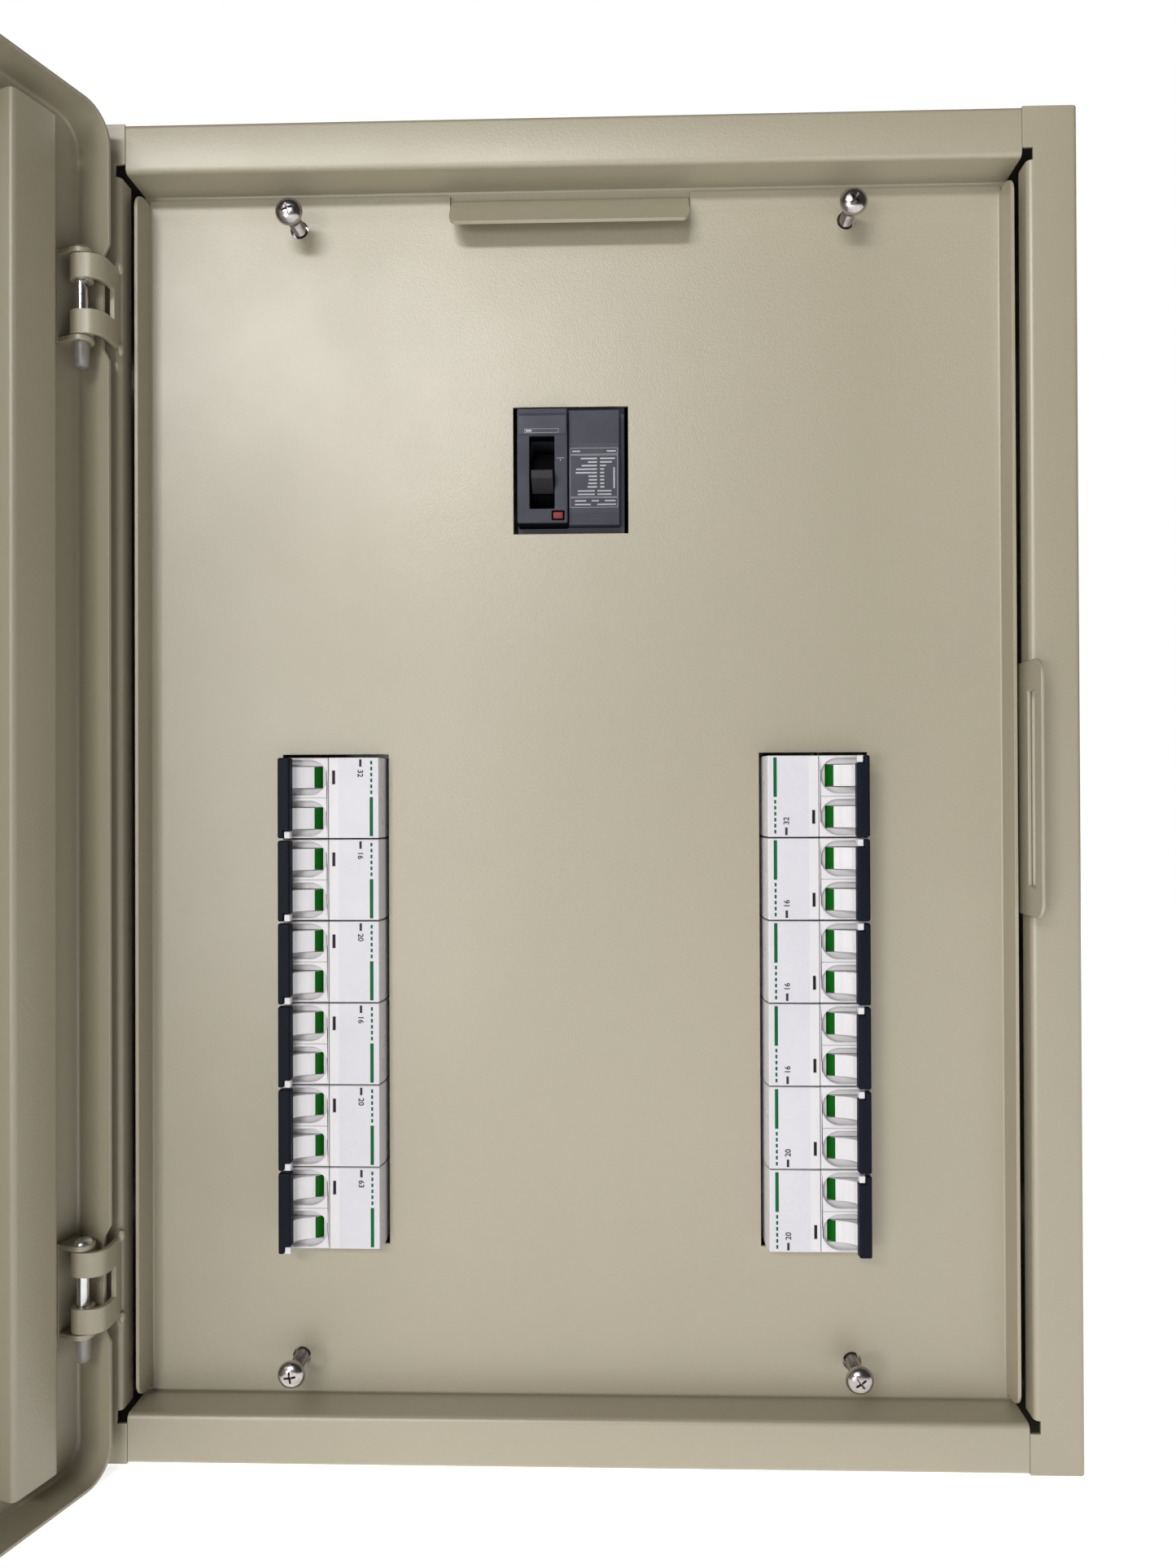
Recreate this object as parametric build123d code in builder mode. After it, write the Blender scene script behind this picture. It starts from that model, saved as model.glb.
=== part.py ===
from build123d import *
from math import radians, tan
import os

# Wall-mounted breaker panel box, millimetres. Origin: centre of the back face, which lies on the wall.
# +Z is up, -Y faces the user, and X runs along the wall from the hinges to the lock.

# Driving dimensions of the box
WIDTH = 432
HEIGHT = 580
DEPTH = 130
SHEET = 1.5
BEND = 1.6                       # bend radius at the middle of the sheet
FIT = 0.1                        # gap between sheet pieces that slip together

HALF_W = WIDTH / 2
HALF_H = HEIGHT / 2
FRONT = -DEPTH                   # plane of the frame's front face
SEAM_X = 192.8                   # seams where the rails end against the stiles
STILE_X = 194.6                  # inner faces of the stiles
RAIL_Z = 268.5                   # inner faces of the rails
STILE_RETURN = 10.5
LIP_Y = FRONT + 20.6             # front of the rail lip that the cover lies on
LIP_Z = 244.5                    # inner edge of that lip

# Front cover, its cut-outs and screws
COVER_Y = FRONT + 19
COVER_X = 190.8
COVER_TOP = 266
COVER_BOTTOM = -267.3
FLANGE_H = 14.5
SCREW_X = 122
SCREW_Z = 252
SCREW_R = 3
SCREW_BORE = 3.05
SCREW_HEAD_Y = FRONT + 2

# Modular breakers: two columns of two-pole units on vertical rails
STACK_X = 105.8
STACK_TOP = 15
BREAKERS = 6
PITCH = 36
MCB_W = 35.8
MCB_FACE = FRONT + 10
RAIL_FACE = -50                  # front of the rail's flanges, where the units sit
MCB_AXIS_U = -12                 # toggle axis, across the unit from its centre
MCB_AXIS_Y = MCB_FACE + 9
POLE = 9                         # offset of each pole from the unit's centre

# Main switch above the columns
MAIN_X = -0.5
MAIN_Z = 142.5
MAIN_AXIS = (MAIN_X - 12.6, FRONT + 33, MAIN_Z - 1.7)

# Mounting pan and copper
PAN_Y = -42.5
PAN_X = 152
PAN_Z = 225
BAR_X = 12.5

# Door, closed position first; it is stored standing open
DOOR_X = 214.5
DOOR_Z = 290
DOOR_CORNER = 14
DOOR_SKIN_Y = FRONT - 23.3       # inner face of the door's skin
DOOR_EDGE_Y = FRONT - 6.1        # free edge of the door's flanges
PIN_X = -205.5
PIN_Y = FRONT - 13.3
PIN_R = 2.5
HINGE_Z = 209
HINGE_H = 34
OPEN_ANGLE = 110
LOCK_X = 163

os.makedirs("parts", exist_ok=True)


def keep(piece, name, place=None):
    """Labels a finished piece, moves it to its place and writes it."""
    part = piece.part if place is None else piece.part.moved(place)
    part.label = name
    export_step(part, f"parts/{name}.step")


# ---------------------------------------------------------------- box: back, sides, top and bottom
WALL_HOLE_X = 185
WALL_HOLE_Z = 225
WALL_HOLE_R = 4

with BuildPart() as back_panel:
    with BuildSketch(Plane.XZ):
        Rectangle(WIDTH - 2 * SHEET - 2 * FIT, HEIGHT - 2 * SHEET - 2 * FIT)
        with GridLocations(2 * WALL_HOLE_X, 2 * WALL_HOLE_Z, 2, 2):
            Circle(WALL_HOLE_R, mode=Mode.SUBTRACT)
    extrude(amount=SHEET)
keep(back_panel, "back_panel")

mid = SHEET / 2
NOTCH_H = 4                      # relief notch beside each seam, above the rail's inner face
RELIEF = 1.4                     # and below it
RETURN_CUT = 30
CORNER_LAP = 8
with BuildPart() as side_panel:
    # Wall, front stile and short return, folded from one strip
    with BuildSketch(Plane.XY.offset(-HALF_H)):
        with BuildLine():
            FilletPolyline(
                (-HALF_W + mid, 0),
                (-HALF_W + mid, FRONT + mid),
                (-STILE_X - mid, FRONT + mid),
                (-STILE_X - mid, FRONT + STILE_RETURN),
                radius=BEND,
            )
        trace(line_width=SHEET)
    extrude(amount=HEIGHT)
    # The return stops at the rails, with a small relief notch beside each seam
    for end in (1, -1):
        with Locations((-STILE_X, FRONT, end * (RAIL_Z + RETURN_CUT / 2 - RELIEF))):
            Box(2 * (BEND + mid) + 0.4, 60, RETURN_CUT, mode=Mode.SUBTRACT)
        with Locations((-SEAM_X - CORNER_LAP / 2, FRONT + mid, end * (RAIL_Z + NOTCH_H + HALF_H) / 2)):
            Box(CORNER_LAP, SHEET, HALF_H - RAIL_Z - NOTCH_H)
keep(side_panel, "left_side")
keep(side_panel, "right_side", Location((0, 0, 0), (0, 180, 0)))

GLAND_X, GLAND_Y = 260, 70       # cable opening in the top and bottom walls
GLAND_MID_Y = -58
GLAND_LAP = 15                   # how far the plate laps the wall round its opening
GLAND_SCREW_R = 2
LIP_HOLE = 4                     # clearance hole in the lip for a cover screw

with BuildPart() as top_panel:
    with BuildSketch(Plane.XY.offset(HALF_H - SHEET)):
        with Locations((0, (FRONT + SHEET + FIT) / 2)):
            Rectangle(WIDTH - 2 * SHEET - 2 * FIT, DEPTH - SHEET - FIT)
        with Locations((0, GLAND_MID_Y)):
            Rectangle(GLAND_X, GLAND_Y, mode=Mode.SUBTRACT)
            with GridLocations(GLAND_X + GLAND_LAP, GLAND_Y + GLAND_LAP, 2, 2):
                Circle(GLAND_SCREW_R, mode=Mode.SUBTRACT)
    extrude(amount=SHEET)
    # The wall's front corners clear the bends of the sides
    fillet(edges().filter_by(Axis.Z).group_by(Axis.Y)[0], 2)
    # Front rail, its return and the lip behind the cover
    with BuildSketch(Plane.YZ.offset(-SEAM_X + FIT)):
        with BuildLine():
            FilletPolyline(
                (FRONT + 12, HALF_H - mid),
                (FRONT + mid, HALF_H - mid),
                (FRONT + mid, RAIL_Z + mid),
                (LIP_Y + mid, RAIL_Z + mid),
                (LIP_Y + mid, LIP_Z),
                radius=BEND,
            )
        trace(line_width=SHEET)
    extrude(amount=2 * (SEAM_X - FIT))
    with Locations(Location((0, LIP_Y + mid, SCREW_Z), (90, 0, 0))):
        with GridLocations(2 * SCREW_X, 1, 2, 1):
            Cylinder(LIP_HOLE, 3 * SHEET, mode=Mode.SUBTRACT)
keep(top_panel, "top_panel")
keep(top_panel, "bottom_panel", Location((0, 0, 0), (0, 180, 0)))

GLAND_PLATE_Z = HALF_H - 2 * SHEET
with BuildPart() as gland_plates:
    for side in (GLAND_PLATE_Z, -HALF_H + SHEET):
        with BuildSketch(Plane.XY.offset(side)):
            with Locations((0, GLAND_MID_Y)):
                RectangleRounded(GLAND_X + 2 * GLAND_LAP, GLAND_Y + 2 * GLAND_LAP, 4)
                with GridLocations(GLAND_X + GLAND_LAP, GLAND_Y + GLAND_LAP, 2, 2):
                    Circle(GLAND_SCREW_R, mode=Mode.SUBTRACT)
        extrude(amount=SHEET)
keep(gland_plates, "gland_plates")

with BuildPart() as gland_screws:
    for side, way in ((GLAND_PLATE_Z, -1), (-GLAND_PLATE_Z, 1)):
        with BuildSketch(Plane.XY.offset(side)):
            with Locations((0, GLAND_MID_Y)):
                with GridLocations(GLAND_X + GLAND_LAP, GLAND_Y + GLAND_LAP, 2, 2):
                    Circle(3.8)
        extrude(amount=way * 2.4)
        with BuildSketch(Plane.XY.offset(side)):
            with Locations((0, GLAND_MID_Y)):
                with GridLocations(GLAND_X + GLAND_LAP, GLAND_Y + GLAND_LAP, 2, 2):
                    Circle(GLAND_SCREW_R - 0.02)
        extrude(amount=-way * 2 * SHEET)
keep(gland_screws, "gland_screws")

# Slotted plate on the lock-side stile that the door's cam turns behind
STRIKER_X = STILE_X - SHEET
STRIKER_HALF = 54
STRIKER_OUT = 16.5
SLOT_HALF = 41
with BuildPart() as striker_plate:
    with BuildSketch(Plane.YZ.offset(STRIKER_X)):
        with Locations((FRONT - STRIKER_OUT / 2 + STILE_RETURN / 2, 0)):
            Rectangle(STRIKER_OUT + STILE_RETURN, 2 * STRIKER_HALF)
        fillet(vertices().group_by(Axis.X)[0], 8)
        with Locations((FRONT - 5, 0)):
            Rectangle(8, 2 * SLOT_HALF, mode=Mode.SUBTRACT)
    extrude(amount=SHEET)
keep(striker_plate, "striker_plate")

# Nuts welded behind the lips for the cover screws
with BuildPart() as cover_nuts:
    with BuildSketch(Plane.XZ.offset(-(LIP_Y + SHEET))):
        with GridLocations(2 * SCREW_X, 2 * SCREW_Z, 2, 2):
            RegularPolygon(6.4, 6)
            Circle(SCREW_BORE, mode=Mode.SUBTRACT)
    extrude(amount=-6)
keep(cover_nuts, "cover_nuts")

# ---------------------------------------------------------------- hinges
ARM = 2.2                        # thickness of the hinge strap
EYE = PIN_R + 0.05 + ARM / 2     # middle radius of the rolled eye
ARM_X = STILE_X - ARM / 2
ARM_WINDOW = 13
ARM_TURN = 6
EAR = 2.3
EAR_GAP = 0.3

with BuildPart() as hinge_arms:
    for hinge in (HINGE_Z, -HINGE_Z):
        with BuildSketch(Plane.XY.offset(hinge - HINGE_H / 2)):
            # The strap runs forward along the stile, turns outwards and rolls round the pin
            with BuildLine():
                Line((-ARM_X, FRONT + 9), (-ARM_X, PIN_Y - EYE + ARM_TURN))
                RadiusArc(
                    (-ARM_X, PIN_Y - EYE + ARM_TURN),
                    (-ARM_X - ARM_TURN, PIN_Y - EYE),
                    ARM_TURN,
                )
                Line((-ARM_X - ARM_TURN, PIN_Y - EYE), (PIN_X, PIN_Y - EYE))
            trace(line_width=ARM)
            with Locations((PIN_X, PIN_Y)):
                Circle(EYE + ARM / 2)
                Circle(EYE - ARM / 2, mode=Mode.SUBTRACT)
        extrude(amount=HINGE_H)
        # Window between the two arms, open from the pin to the stile
        with Locations((PIN_X + 2, PIN_Y, hinge)):
            Box(2 * (-ARM_X - PIN_X) - 7, 16, ARM_WINDOW, mode=Mode.SUBTRACT)
keep(hinge_arms, "hinge_arms")

swing = (
    Location((PIN_X, PIN_Y, 0))
    * Location((0, 0, 0), (0, 0, -OPEN_ANGLE))
    * Location((-PIN_X, -PIN_Y, 0))
)

DOOR_OUT = DOOR_SKIN_Y - SHEET   # outer face of the door
NOTCH = 3.2
with BuildPart() as door_panel:
    with BuildSketch(Plane.XZ.offset(-DOOR_EDGE_Y)):
        RectangleRounded(2 * DOOR_X, 2 * DOOR_Z, DOOR_CORNER)
    extrude(amount=DOOR_EDGE_Y - DOOR_OUT)
    fillet(faces().sort_by(Axis.Y)[0].edges(), 2.4)
    with BuildSketch(Plane.XZ.offset(-DOOR_EDGE_Y)):
        RectangleRounded(2 * (DOOR_X - SHEET), 2 * (DOOR_Z - SHEET), DOOR_CORNER - SHEET)
    extrude(amount=DOOR_EDGE_Y - DOOR_SKIN_Y, mode=Mode.SUBTRACT)
    # Reliefs in the hinge flange, and the hole for the lock
    for hinge in (HINGE_Z, -HINGE_Z):
        with BuildSketch(Plane.YZ.offset(-DOOR_X - 1)):
            with BuildLine():
                Polyline(
                    (DOOR_EDGE_Y + 1, hinge - 25),
                    (DOOR_EDGE_Y + 1, hinge + 25),
                    (DOOR_EDGE_Y, hinge + 25),
                    (DOOR_EDGE_Y - NOTCH, hinge + 20),
                    (DOOR_EDGE_Y - NOTCH, hinge - 20),
                    (DOOR_EDGE_Y, hinge - 25),
                    close=True,
                )
            make_face()
        extrude(amount=2 + SHEET, mode=Mode.SUBTRACT)
    with Locations(Location((LOCK_X, DOOR_SKIN_Y, 0), (90, 0, 0))):
        Cylinder(10, 10, mode=Mode.SUBTRACT)
keep(door_panel, "door_panel", swing)

# Two folded channels stiffen the door, one by the hinges and one inboard of the lock
CHANNEL_H = 12.3
CHANNEL_W = 22.5
CHANNEL_SHEET = 1.2
CHANNEL_X = (-DOOR_X + SHEET + 22, 112)
with BuildPart() as door_stiffeners:
    for left in CHANNEL_X:
        thin = CHANNEL_SHEET / 2
        top = DOOR_SKIN_Y + CHANNEL_H - thin
        foot = DOOR_SKIN_Y + thin
        with BuildSketch(Plane.XY.offset(-DOOR_Z + 13)):
            with BuildLine():
                FilletPolyline(
                    (left - 9, foot),
                    (left + thin, foot),
                    (left + thin, top),
                    (left + CHANNEL_W - thin, top),
                    (left + CHANNEL_W - thin, foot),
                    (left + CHANNEL_W + 9, foot),
                    radius=1.8,
                )
            trace(line_width=CHANNEL_SHEET)
        extrude(amount=2 * (DOOR_Z - 13))
keep(door_stiffeners, "door_stiffeners", swing)

with BuildPart() as hinge_brackets:
    for hinge in (HINGE_Z, -HINGE_Z):
        ear_low = HINGE_H / 2 + EAR_GAP
        with Locations((PIN_X, DOOR_SKIN_Y + 1, hinge)):
            Box(11, 2, 2 * (ear_low + EAR))
        for z in (hinge + ear_low, hinge - ear_low - EAR):
            with BuildSketch(Plane.XY.offset(z)):
                with Locations((PIN_X, (PIN_Y + DOOR_SKIN_Y) / 2)):
                    Rectangle(10, PIN_Y - DOOR_SKIN_Y)
                with Locations((PIN_X, PIN_Y)):
                    Circle(5)
                    Circle(PIN_R, mode=Mode.SUBTRACT)
            extrude(amount=EAR)
keep(hinge_brackets, "hinge_brackets", swing)

PIN_TAIL = 11
with BuildPart() as hinge_pins:
    for hinge in (HINGE_Z, -HINGE_Z):
        ear_top = HINGE_H / 2 + EAR_GAP + EAR
        with BuildSketch(Plane.XY.offset(hinge - ear_top - PIN_TAIL)):
            with Locations((PIN_X, PIN_Y)):
                Circle(PIN_R)
        extrude(amount=2 * ear_top + PIN_TAIL)
        with BuildSketch(Plane.XY.offset(hinge + ear_top)):
            with Locations((PIN_X, PIN_Y)):
                Circle(4)
        extrude(amount=2.2)
keep(hinge_pins, "hinge_pins", swing)

CAP_L = 13.7
with BuildPart() as hinge_pin_caps:
    for hinge in (HINGE_Z, -HINGE_Z):
        cap_top = hinge - (HINGE_H / 2 + EAR_GAP + EAR)
        with BuildSketch(Plane.XY.offset(cap_top)):
            with Locations((PIN_X, PIN_Y)):
                Circle(3.9)
        extrude(amount=-CAP_L, taper=2)
        with BuildSketch(Plane.XY.offset(cap_top)):
            with Locations((PIN_X, PIN_Y)):
                Circle(PIN_R)
        extrude(amount=-PIN_TAIL, mode=Mode.SUBTRACT)
keep(hinge_pin_caps, "hinge_pin_caps", swing)

# ---------------------------------------------------------------- quarter-turn lock on the door
CAM_Y = FRONT - 6.5              # front face of the cam
CAM_T = 2
CAM_L = 42
SPINDLE_R = 6
with BuildPart() as lock_housing:
    with BuildSketch(Plane.XZ.offset(-DOOR_OUT)):
        with Locations((LOCK_X, 0)):
            Circle(15)
    extrude(amount=4)
    fillet(faces().sort_by(Axis.Y)[0].edges(), 1.5)
    with BuildSketch(Plane.XZ.offset(-DOOR_OUT)):
        with Locations((LOCK_X, 0)):
            Circle(9.9)
    extrude(amount=-12)
    with Locations(Location((LOCK_X, DOOR_OUT, 0), (90, 0, 0))):
        Cylinder(SPINDLE_R + 0.05, 40, mode=Mode.SUBTRACT)
keep(lock_housing, "lock_housing", swing)

with BuildPart() as lock_nut:
    with BuildSketch(Plane.XZ.offset(-DOOR_SKIN_Y)):
        with Locations((LOCK_X, 0)):
            RegularPolygon(14.5, 6)
            Circle(9.95, mode=Mode.SUBTRACT)
    extrude(amount=-5)
keep(lock_nut, "lock_nut", swing)

with BuildPart() as lock_knob:
    # Spindle through the housing, with a wing grip outside
    with BuildSketch(Plane.XZ.offset(-(DOOR_OUT - 4.4))):
        with Locations((LOCK_X, 0)):
            Circle(12)
    extrude(amount=4)
    with BuildSketch(Plane.XZ.offset(-(DOOR_OUT - 8.4))):
        with Locations((LOCK_X, 0)):
            SlotOverall(40, 9, rotation=90)
    extrude(amount=9)
    fillet(faces().sort_by(Axis.Y)[0].edges(), 2)
    with BuildSketch(Plane.XZ.offset(-(DOOR_OUT - 4.4))):
        with Locations((LOCK_X, 0)):
            Circle(SPINDLE_R)
    extrude(amount=-(CAM_Y - DOOR_OUT + 4.4))
    with Locations((LOCK_X, CAM_Y + CAM_T / 2, 0)):
        Box(7, CAM_T, 7)
keep(lock_knob, "lock_knob", swing)

with BuildPart() as lock_cam:
    # Hangs down when unlocked; a quarter turn takes it through the striker's slot
    with BuildSketch(Plane.XZ.offset(-CAM_Y)):
        with Locations((LOCK_X, 0)):
            Circle(10)
        with Locations((LOCK_X, -CAM_L / 2)):
            Rectangle(16, CAM_L)
        fillet(vertices().group_by(Axis.Y)[0], 4)
        with Locations((LOCK_X, 0)):
            Rectangle(7.1, 7.1, mode=Mode.SUBTRACT)
    extrude(amount=-CAM_T)
keep(lock_cam, "lock_cam", swing)

with BuildPart() as lock_screw:
    with BuildSketch(Plane.XZ.offset(-(CAM_Y + CAM_T))):
        with Locations((LOCK_X, 0)):
            RegularPolygon(6.5, 6)
    extrude(amount=-3.5)
keep(lock_screw, "lock_screw", swing)

# ---------------------------------------------------------------- front cover and its captive screws
MAIN_CUT = (51.2, 56.6)
SLOT_IN, SLOT_OUT = 82.4, 130
SLOT_LOW, SLOT_HIGH = -201.8, 16.3
FLAP_LEFT, FLAP_RIGHT = -54, 53
FLAP_ROOT = 259.5                # foot of the slits beside the pull flap
FLAP_FOLD = 263.6
FLAP_OUT = 13.5
FLAP_SLOPE = 50
FLAP_HALF = 50.5

with BuildPart() as front_cover:
    with BuildSketch(Plane.XZ.offset(-COVER_Y)):
        with Locations((0, (COVER_TOP + COVER_BOTTOM) / 2)):
            Rectangle(2 * COVER_X, COVER_TOP - COVER_BOTTOM)
        with Locations((MAIN_X, MAIN_Z)):
            Rectangle(*MAIN_CUT, mode=Mode.SUBTRACT)
        for side in (-1, 1):
            with Locations((side * (SLOT_IN + SLOT_OUT) / 2, (SLOT_LOW + SLOT_HIGH) / 2)):
                Rectangle(SLOT_OUT - SLOT_IN, SLOT_HIGH - SLOT_LOW, mode=Mode.SUBTRACT)
        with GridLocations(2 * SCREW_X, 2 * SCREW_Z, 2, 2):
            Circle(4, mode=Mode.SUBTRACT)
        with Locations(((FLAP_LEFT + FLAP_RIGHT) / 2, COVER_TOP)):
            Rectangle(FLAP_RIGHT - FLAP_LEFT, 2 * (COVER_TOP - FLAP_ROOT), mode=Mode.SUBTRACT)
    extrude(amount=-SHEET)
    # Side flanges, folded forward, with rounded free corners
    for x in (-COVER_X, COVER_X - SHEET):
        with BuildSketch(Plane.YZ.offset(x)):
            with Locations((COVER_Y + SHEET - (FLANGE_H + SHEET) / 2, (COVER_TOP + COVER_BOTTOM) / 2)):
                Rectangle(FLANGE_H + SHEET, COVER_TOP - COVER_BOTTOM - 5)
            fillet(vertices().group_by(Axis.X)[0], 7)
        extrude(amount=SHEET)
    back_corners = edges().filter_by(Axis.Z).filter_by_position(
        Axis.Y, COVER_Y + SHEET - 0.01, COVER_Y + SHEET + 0.01
    )
    fillet(back_corners.group_by(Axis.X)[0] + back_corners.group_by(Axis.X)[-1], 2)
    # Pull flap: folded over forwards and down, so that fingers hook behind it
    with BuildSketch(Plane.YZ.offset(FLAP_LEFT + 0.7)):
        with BuildLine():
            FilletPolyline(
                (COVER_Y + mid, FLAP_ROOT - 1),
                (COVER_Y + mid, FLAP_FOLD),
                (COVER_Y + mid - FLAP_OUT, FLAP_FOLD - FLAP_OUT * tan(radians(FLAP_SLOPE))),
                radius=1.1,
            )
        trace(line_width=SHEET)
    extrude(amount=FLAP_RIGHT - FLAP_LEFT - 1.4)
    flap_mid = (FLAP_LEFT + FLAP_RIGHT) / 2
    with BuildSketch(Plane.XZ.offset(-(COVER_Y - 1.2))):
        with Locations((flap_mid, FLAP_ROOT - 4)):
            Rectangle(120, 40)
        with Locations((flap_mid, FLAP_ROOT)):
            RectangleRounded(2 * FLAP_HALF, 26.6, 5, mode=Mode.SUBTRACT)
    extrude(amount=30, mode=Mode.SUBTRACT)
keep(front_cover, "front_cover")

with BuildPart() as cover_screws:
    shank_end = LIP_Y + 13
    with BuildSketch(Plane.XZ.offset(-shank_end)):
        with GridLocations(2 * SCREW_X, 2 * SCREW_Z, 2, 2):
            Circle(SCREW_R)
    extrude(amount=shank_end - SCREW_HEAD_Y)
    with BuildSketch(Plane.XZ.offset(-SCREW_HEAD_Y)):
        with GridLocations(2 * SCREW_X, 2 * SCREW_Z, 2, 2):
            Circle(6)
    extrude(amount=4)
    fillet(faces().sort_by(Axis.Y)[:4].edges(), 2.6)
    with GridLocations(2 * SCREW_X, 1, 2, 1):
        for z in (SCREW_Z, -SCREW_Z):
            with Locations((0, SCREW_HEAD_Y - 3.2, z)):
                Box(6, 3, 1.2, mode=Mode.SUBTRACT)
                Box(1.2, 3, 6, mode=Mode.SUBTRACT)
keep(cover_screws, "cover_screws")

# ---------------------------------------------------------------- mounting pan
STAND_X, STAND_Z = 135, 212
with BuildPart() as mounting_pan:
    with BuildSketch(Plane.XZ.offset(-PAN_Y)):
        Rectangle(2 * PAN_X, 2 * PAN_Z)
        with GridLocations(2 * STAND_X, 2 * STAND_Z, 2, 2):
            Circle(3.2, mode=Mode.SUBTRACT)
    extrude(amount=-SHEET)
    for x in (-PAN_X, PAN_X - SHEET):
        with BuildSketch(Plane.YZ.offset(x)):
            with Locations((PAN_Y + 7, 0)):
                Rectangle(14, 2 * PAN_Z)
        extrude(amount=SHEET)
keep(mounting_pan, "mounting_pan")

with BuildPart() as pan_standoffs:
    with BuildSketch(Plane.XZ.offset(SHEET)):
        with GridLocations(2 * STAND_X, 2 * STAND_Z, 2, 2):
            RegularPolygon(6.9, 6)
    extrude(amount=-(PAN_Y + 2 * SHEET), dir=(0, -1, 0))
    with BuildSketch(Plane.XZ.offset(-(PAN_Y + SHEET))):
        with GridLocations(2 * STAND_X, 2 * STAND_Z, 2, 2):
            Circle(3)
    extrude(amount=-14, mode=Mode.SUBTRACT)
keep(pan_standoffs, "pan_standoffs")

with BuildPart() as pan_screws:
    with BuildSketch(Plane.XZ.offset(-PAN_Y)):
        with GridLocations(2 * STAND_X, 2 * STAND_Z, 2, 2):
            Circle(6)
    extrude(amount=3.5)
    with BuildSketch(Plane.XZ.offset(-PAN_Y)):
        with GridLocations(2 * STAND_X, 2 * STAND_Z, 2, 2):
            Circle(2.98)
    extrude(amount=-12)
keep(pan_screws, "pan_screws")

STACK_MID = STACK_TOP - BREAKERS * PITCH / 2
with BuildPart() as din_rails:
    # Two top-hat rails, 35 wide and 7.5 deep
    for x in (-STACK_X, STACK_X):
        with BuildSketch(Plane.XY.offset(STACK_MID - BREAKERS * PITCH / 2 - 10)):
            with BuildLine():
                FilletPolyline(
                    (x - 17.5, RAIL_FACE + 0.5),
                    (x - 13, RAIL_FACE + 0.5),
                    (x - 13, PAN_Y - 0.5),
                    (x + 13, PAN_Y - 0.5),
                    (x + 13, RAIL_FACE + 0.5),
                    (x + 17.5, RAIL_FACE + 0.5),
                    radius=0.9,
                )
            trace(line_width=1)
        extrude(amount=BREAKERS * PITCH + 20)
keep(din_rails, "din_rails")

# ---------------------------------------------------------------- copper and earth
UNIT_Z = [STACK_TOP - PITCH * (n + 0.5) for n in range(BREAKERS)]
LINE_Y, NEUTRAL_Y = -78, -70     # front faces of the two bars
BAR_T, BAR_W = 4, 12
FINGER_T, FINGER_W = 2, 8
FINGER_REACH = 55
BAR_LOW, BAR_HIGH = -217, 88
SUPPORT_Z = (42, -209)

with BuildPart() as busbars:
    # One comb for the line and one for the neutral, each with a finger to every unit on both sides
    for x, front, finger_y, pole in (
        (-BAR_X, LINE_Y, LINE_Y - FINGER_T, POLE),
        (BAR_X, NEUTRAL_Y, NEUTRAL_Y + BAR_T, -POLE),
    ):
        with Locations((x, front + BAR_T / 2, (BAR_LOW + BAR_HIGH) / 2)):
            Box(BAR_W, BAR_T, BAR_HIGH - BAR_LOW)
        for z in UNIT_Z:
            with Locations((0, finger_y + FINGER_T / 2, z + pole)):
                Box(2 * FINGER_REACH, FINGER_T, FINGER_W)
keep(busbars, "busbars")

with BuildPart() as busbar_supports:
    for z in SUPPORT_Z:
        with Locations((0, (PAN_Y - 84) / 2, z)):
            Box(60, PAN_Y + 84, 12)
        with Locations((-BAR_X, (-84 + LINE_Y + BAR_T) / 2 - 1, z)):
            Box(BAR_W, LINE_Y + BAR_T + 84 + 2, 12, mode=Mode.SUBTRACT)
        with Locations((BAR_X, (-84 + NEUTRAL_Y + BAR_T) / 2 - 1, z)):
            Box(BAR_W, NEUTRAL_Y + BAR_T + 84 + 2, 12, mode=Mode.SUBTRACT)
keep(busbar_supports, "busbar_supports")

EARTH_Z = 217
EARTH_WAYS = 12
with BuildPart() as earth_bar:
    with Locations((0, PAN_Y - 12, EARTH_Z)):
        Box(180, 8, 12)
        with GridLocations(13.5, 1, EARTH_WAYS, 1):
            Cylinder(2.6, 14, mode=Mode.SUBTRACT)
    for x in (-84, 84):
        with Locations(Location((x, PAN_Y - 4, EARTH_Z), (90, 0, 0))):
            Cylinder(5, 8)
keep(earth_bar, "earth_bar")

with BuildPart() as earth_bar_screws:
    with BuildSketch(Plane.XZ.offset(-(PAN_Y - 16))):
        with Locations((0, EARTH_Z)):
            with GridLocations(13.5, 1, EARTH_WAYS, 1):
                Circle(3)
    extrude(amount=3)
keep(earth_bar_screws, "earth_bar_screws")

# ---------------------------------------------------------------- main switch
BASE_W, BASE_H = 50, 130
BASE_FRONT = FRONT + 62          # joint between the base and the cover
SHOULDER_FRONT = FRONT + 31
TOGGLE_FACE = FRONT + 15
LABEL_FACE = FRONT + 18
NOSE_H = 52.5
NOSE_Z = MAIN_Z + 1.3
TERMINAL_X = 12.5
SLOT_W, SLOT_H = 11, 31.8
DRUM_R = 15
BUTTON_X, BUTTON_Z = MAIN_X - 5.5, 121.6

with BuildPart() as main_switch_base:
    with Locations((0, (PAN_Y + BASE_FRONT) / 2, MAIN_Z)):
        Box(BASE_W, PAN_Y - BASE_FRONT, BASE_H)
    fillet(edges().filter_by(Axis.Y), 1.5)
    for end in (-1, 1):
        for x in (-TERMINAL_X, TERMINAL_X):
            with Locations((x, BASE_FRONT, MAIN_Z + end * (BASE_H / 2 - 8))):
                Box(18, 34, 20, mode=Mode.SUBTRACT)
keep(main_switch_base, "main_switch_base")

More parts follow.
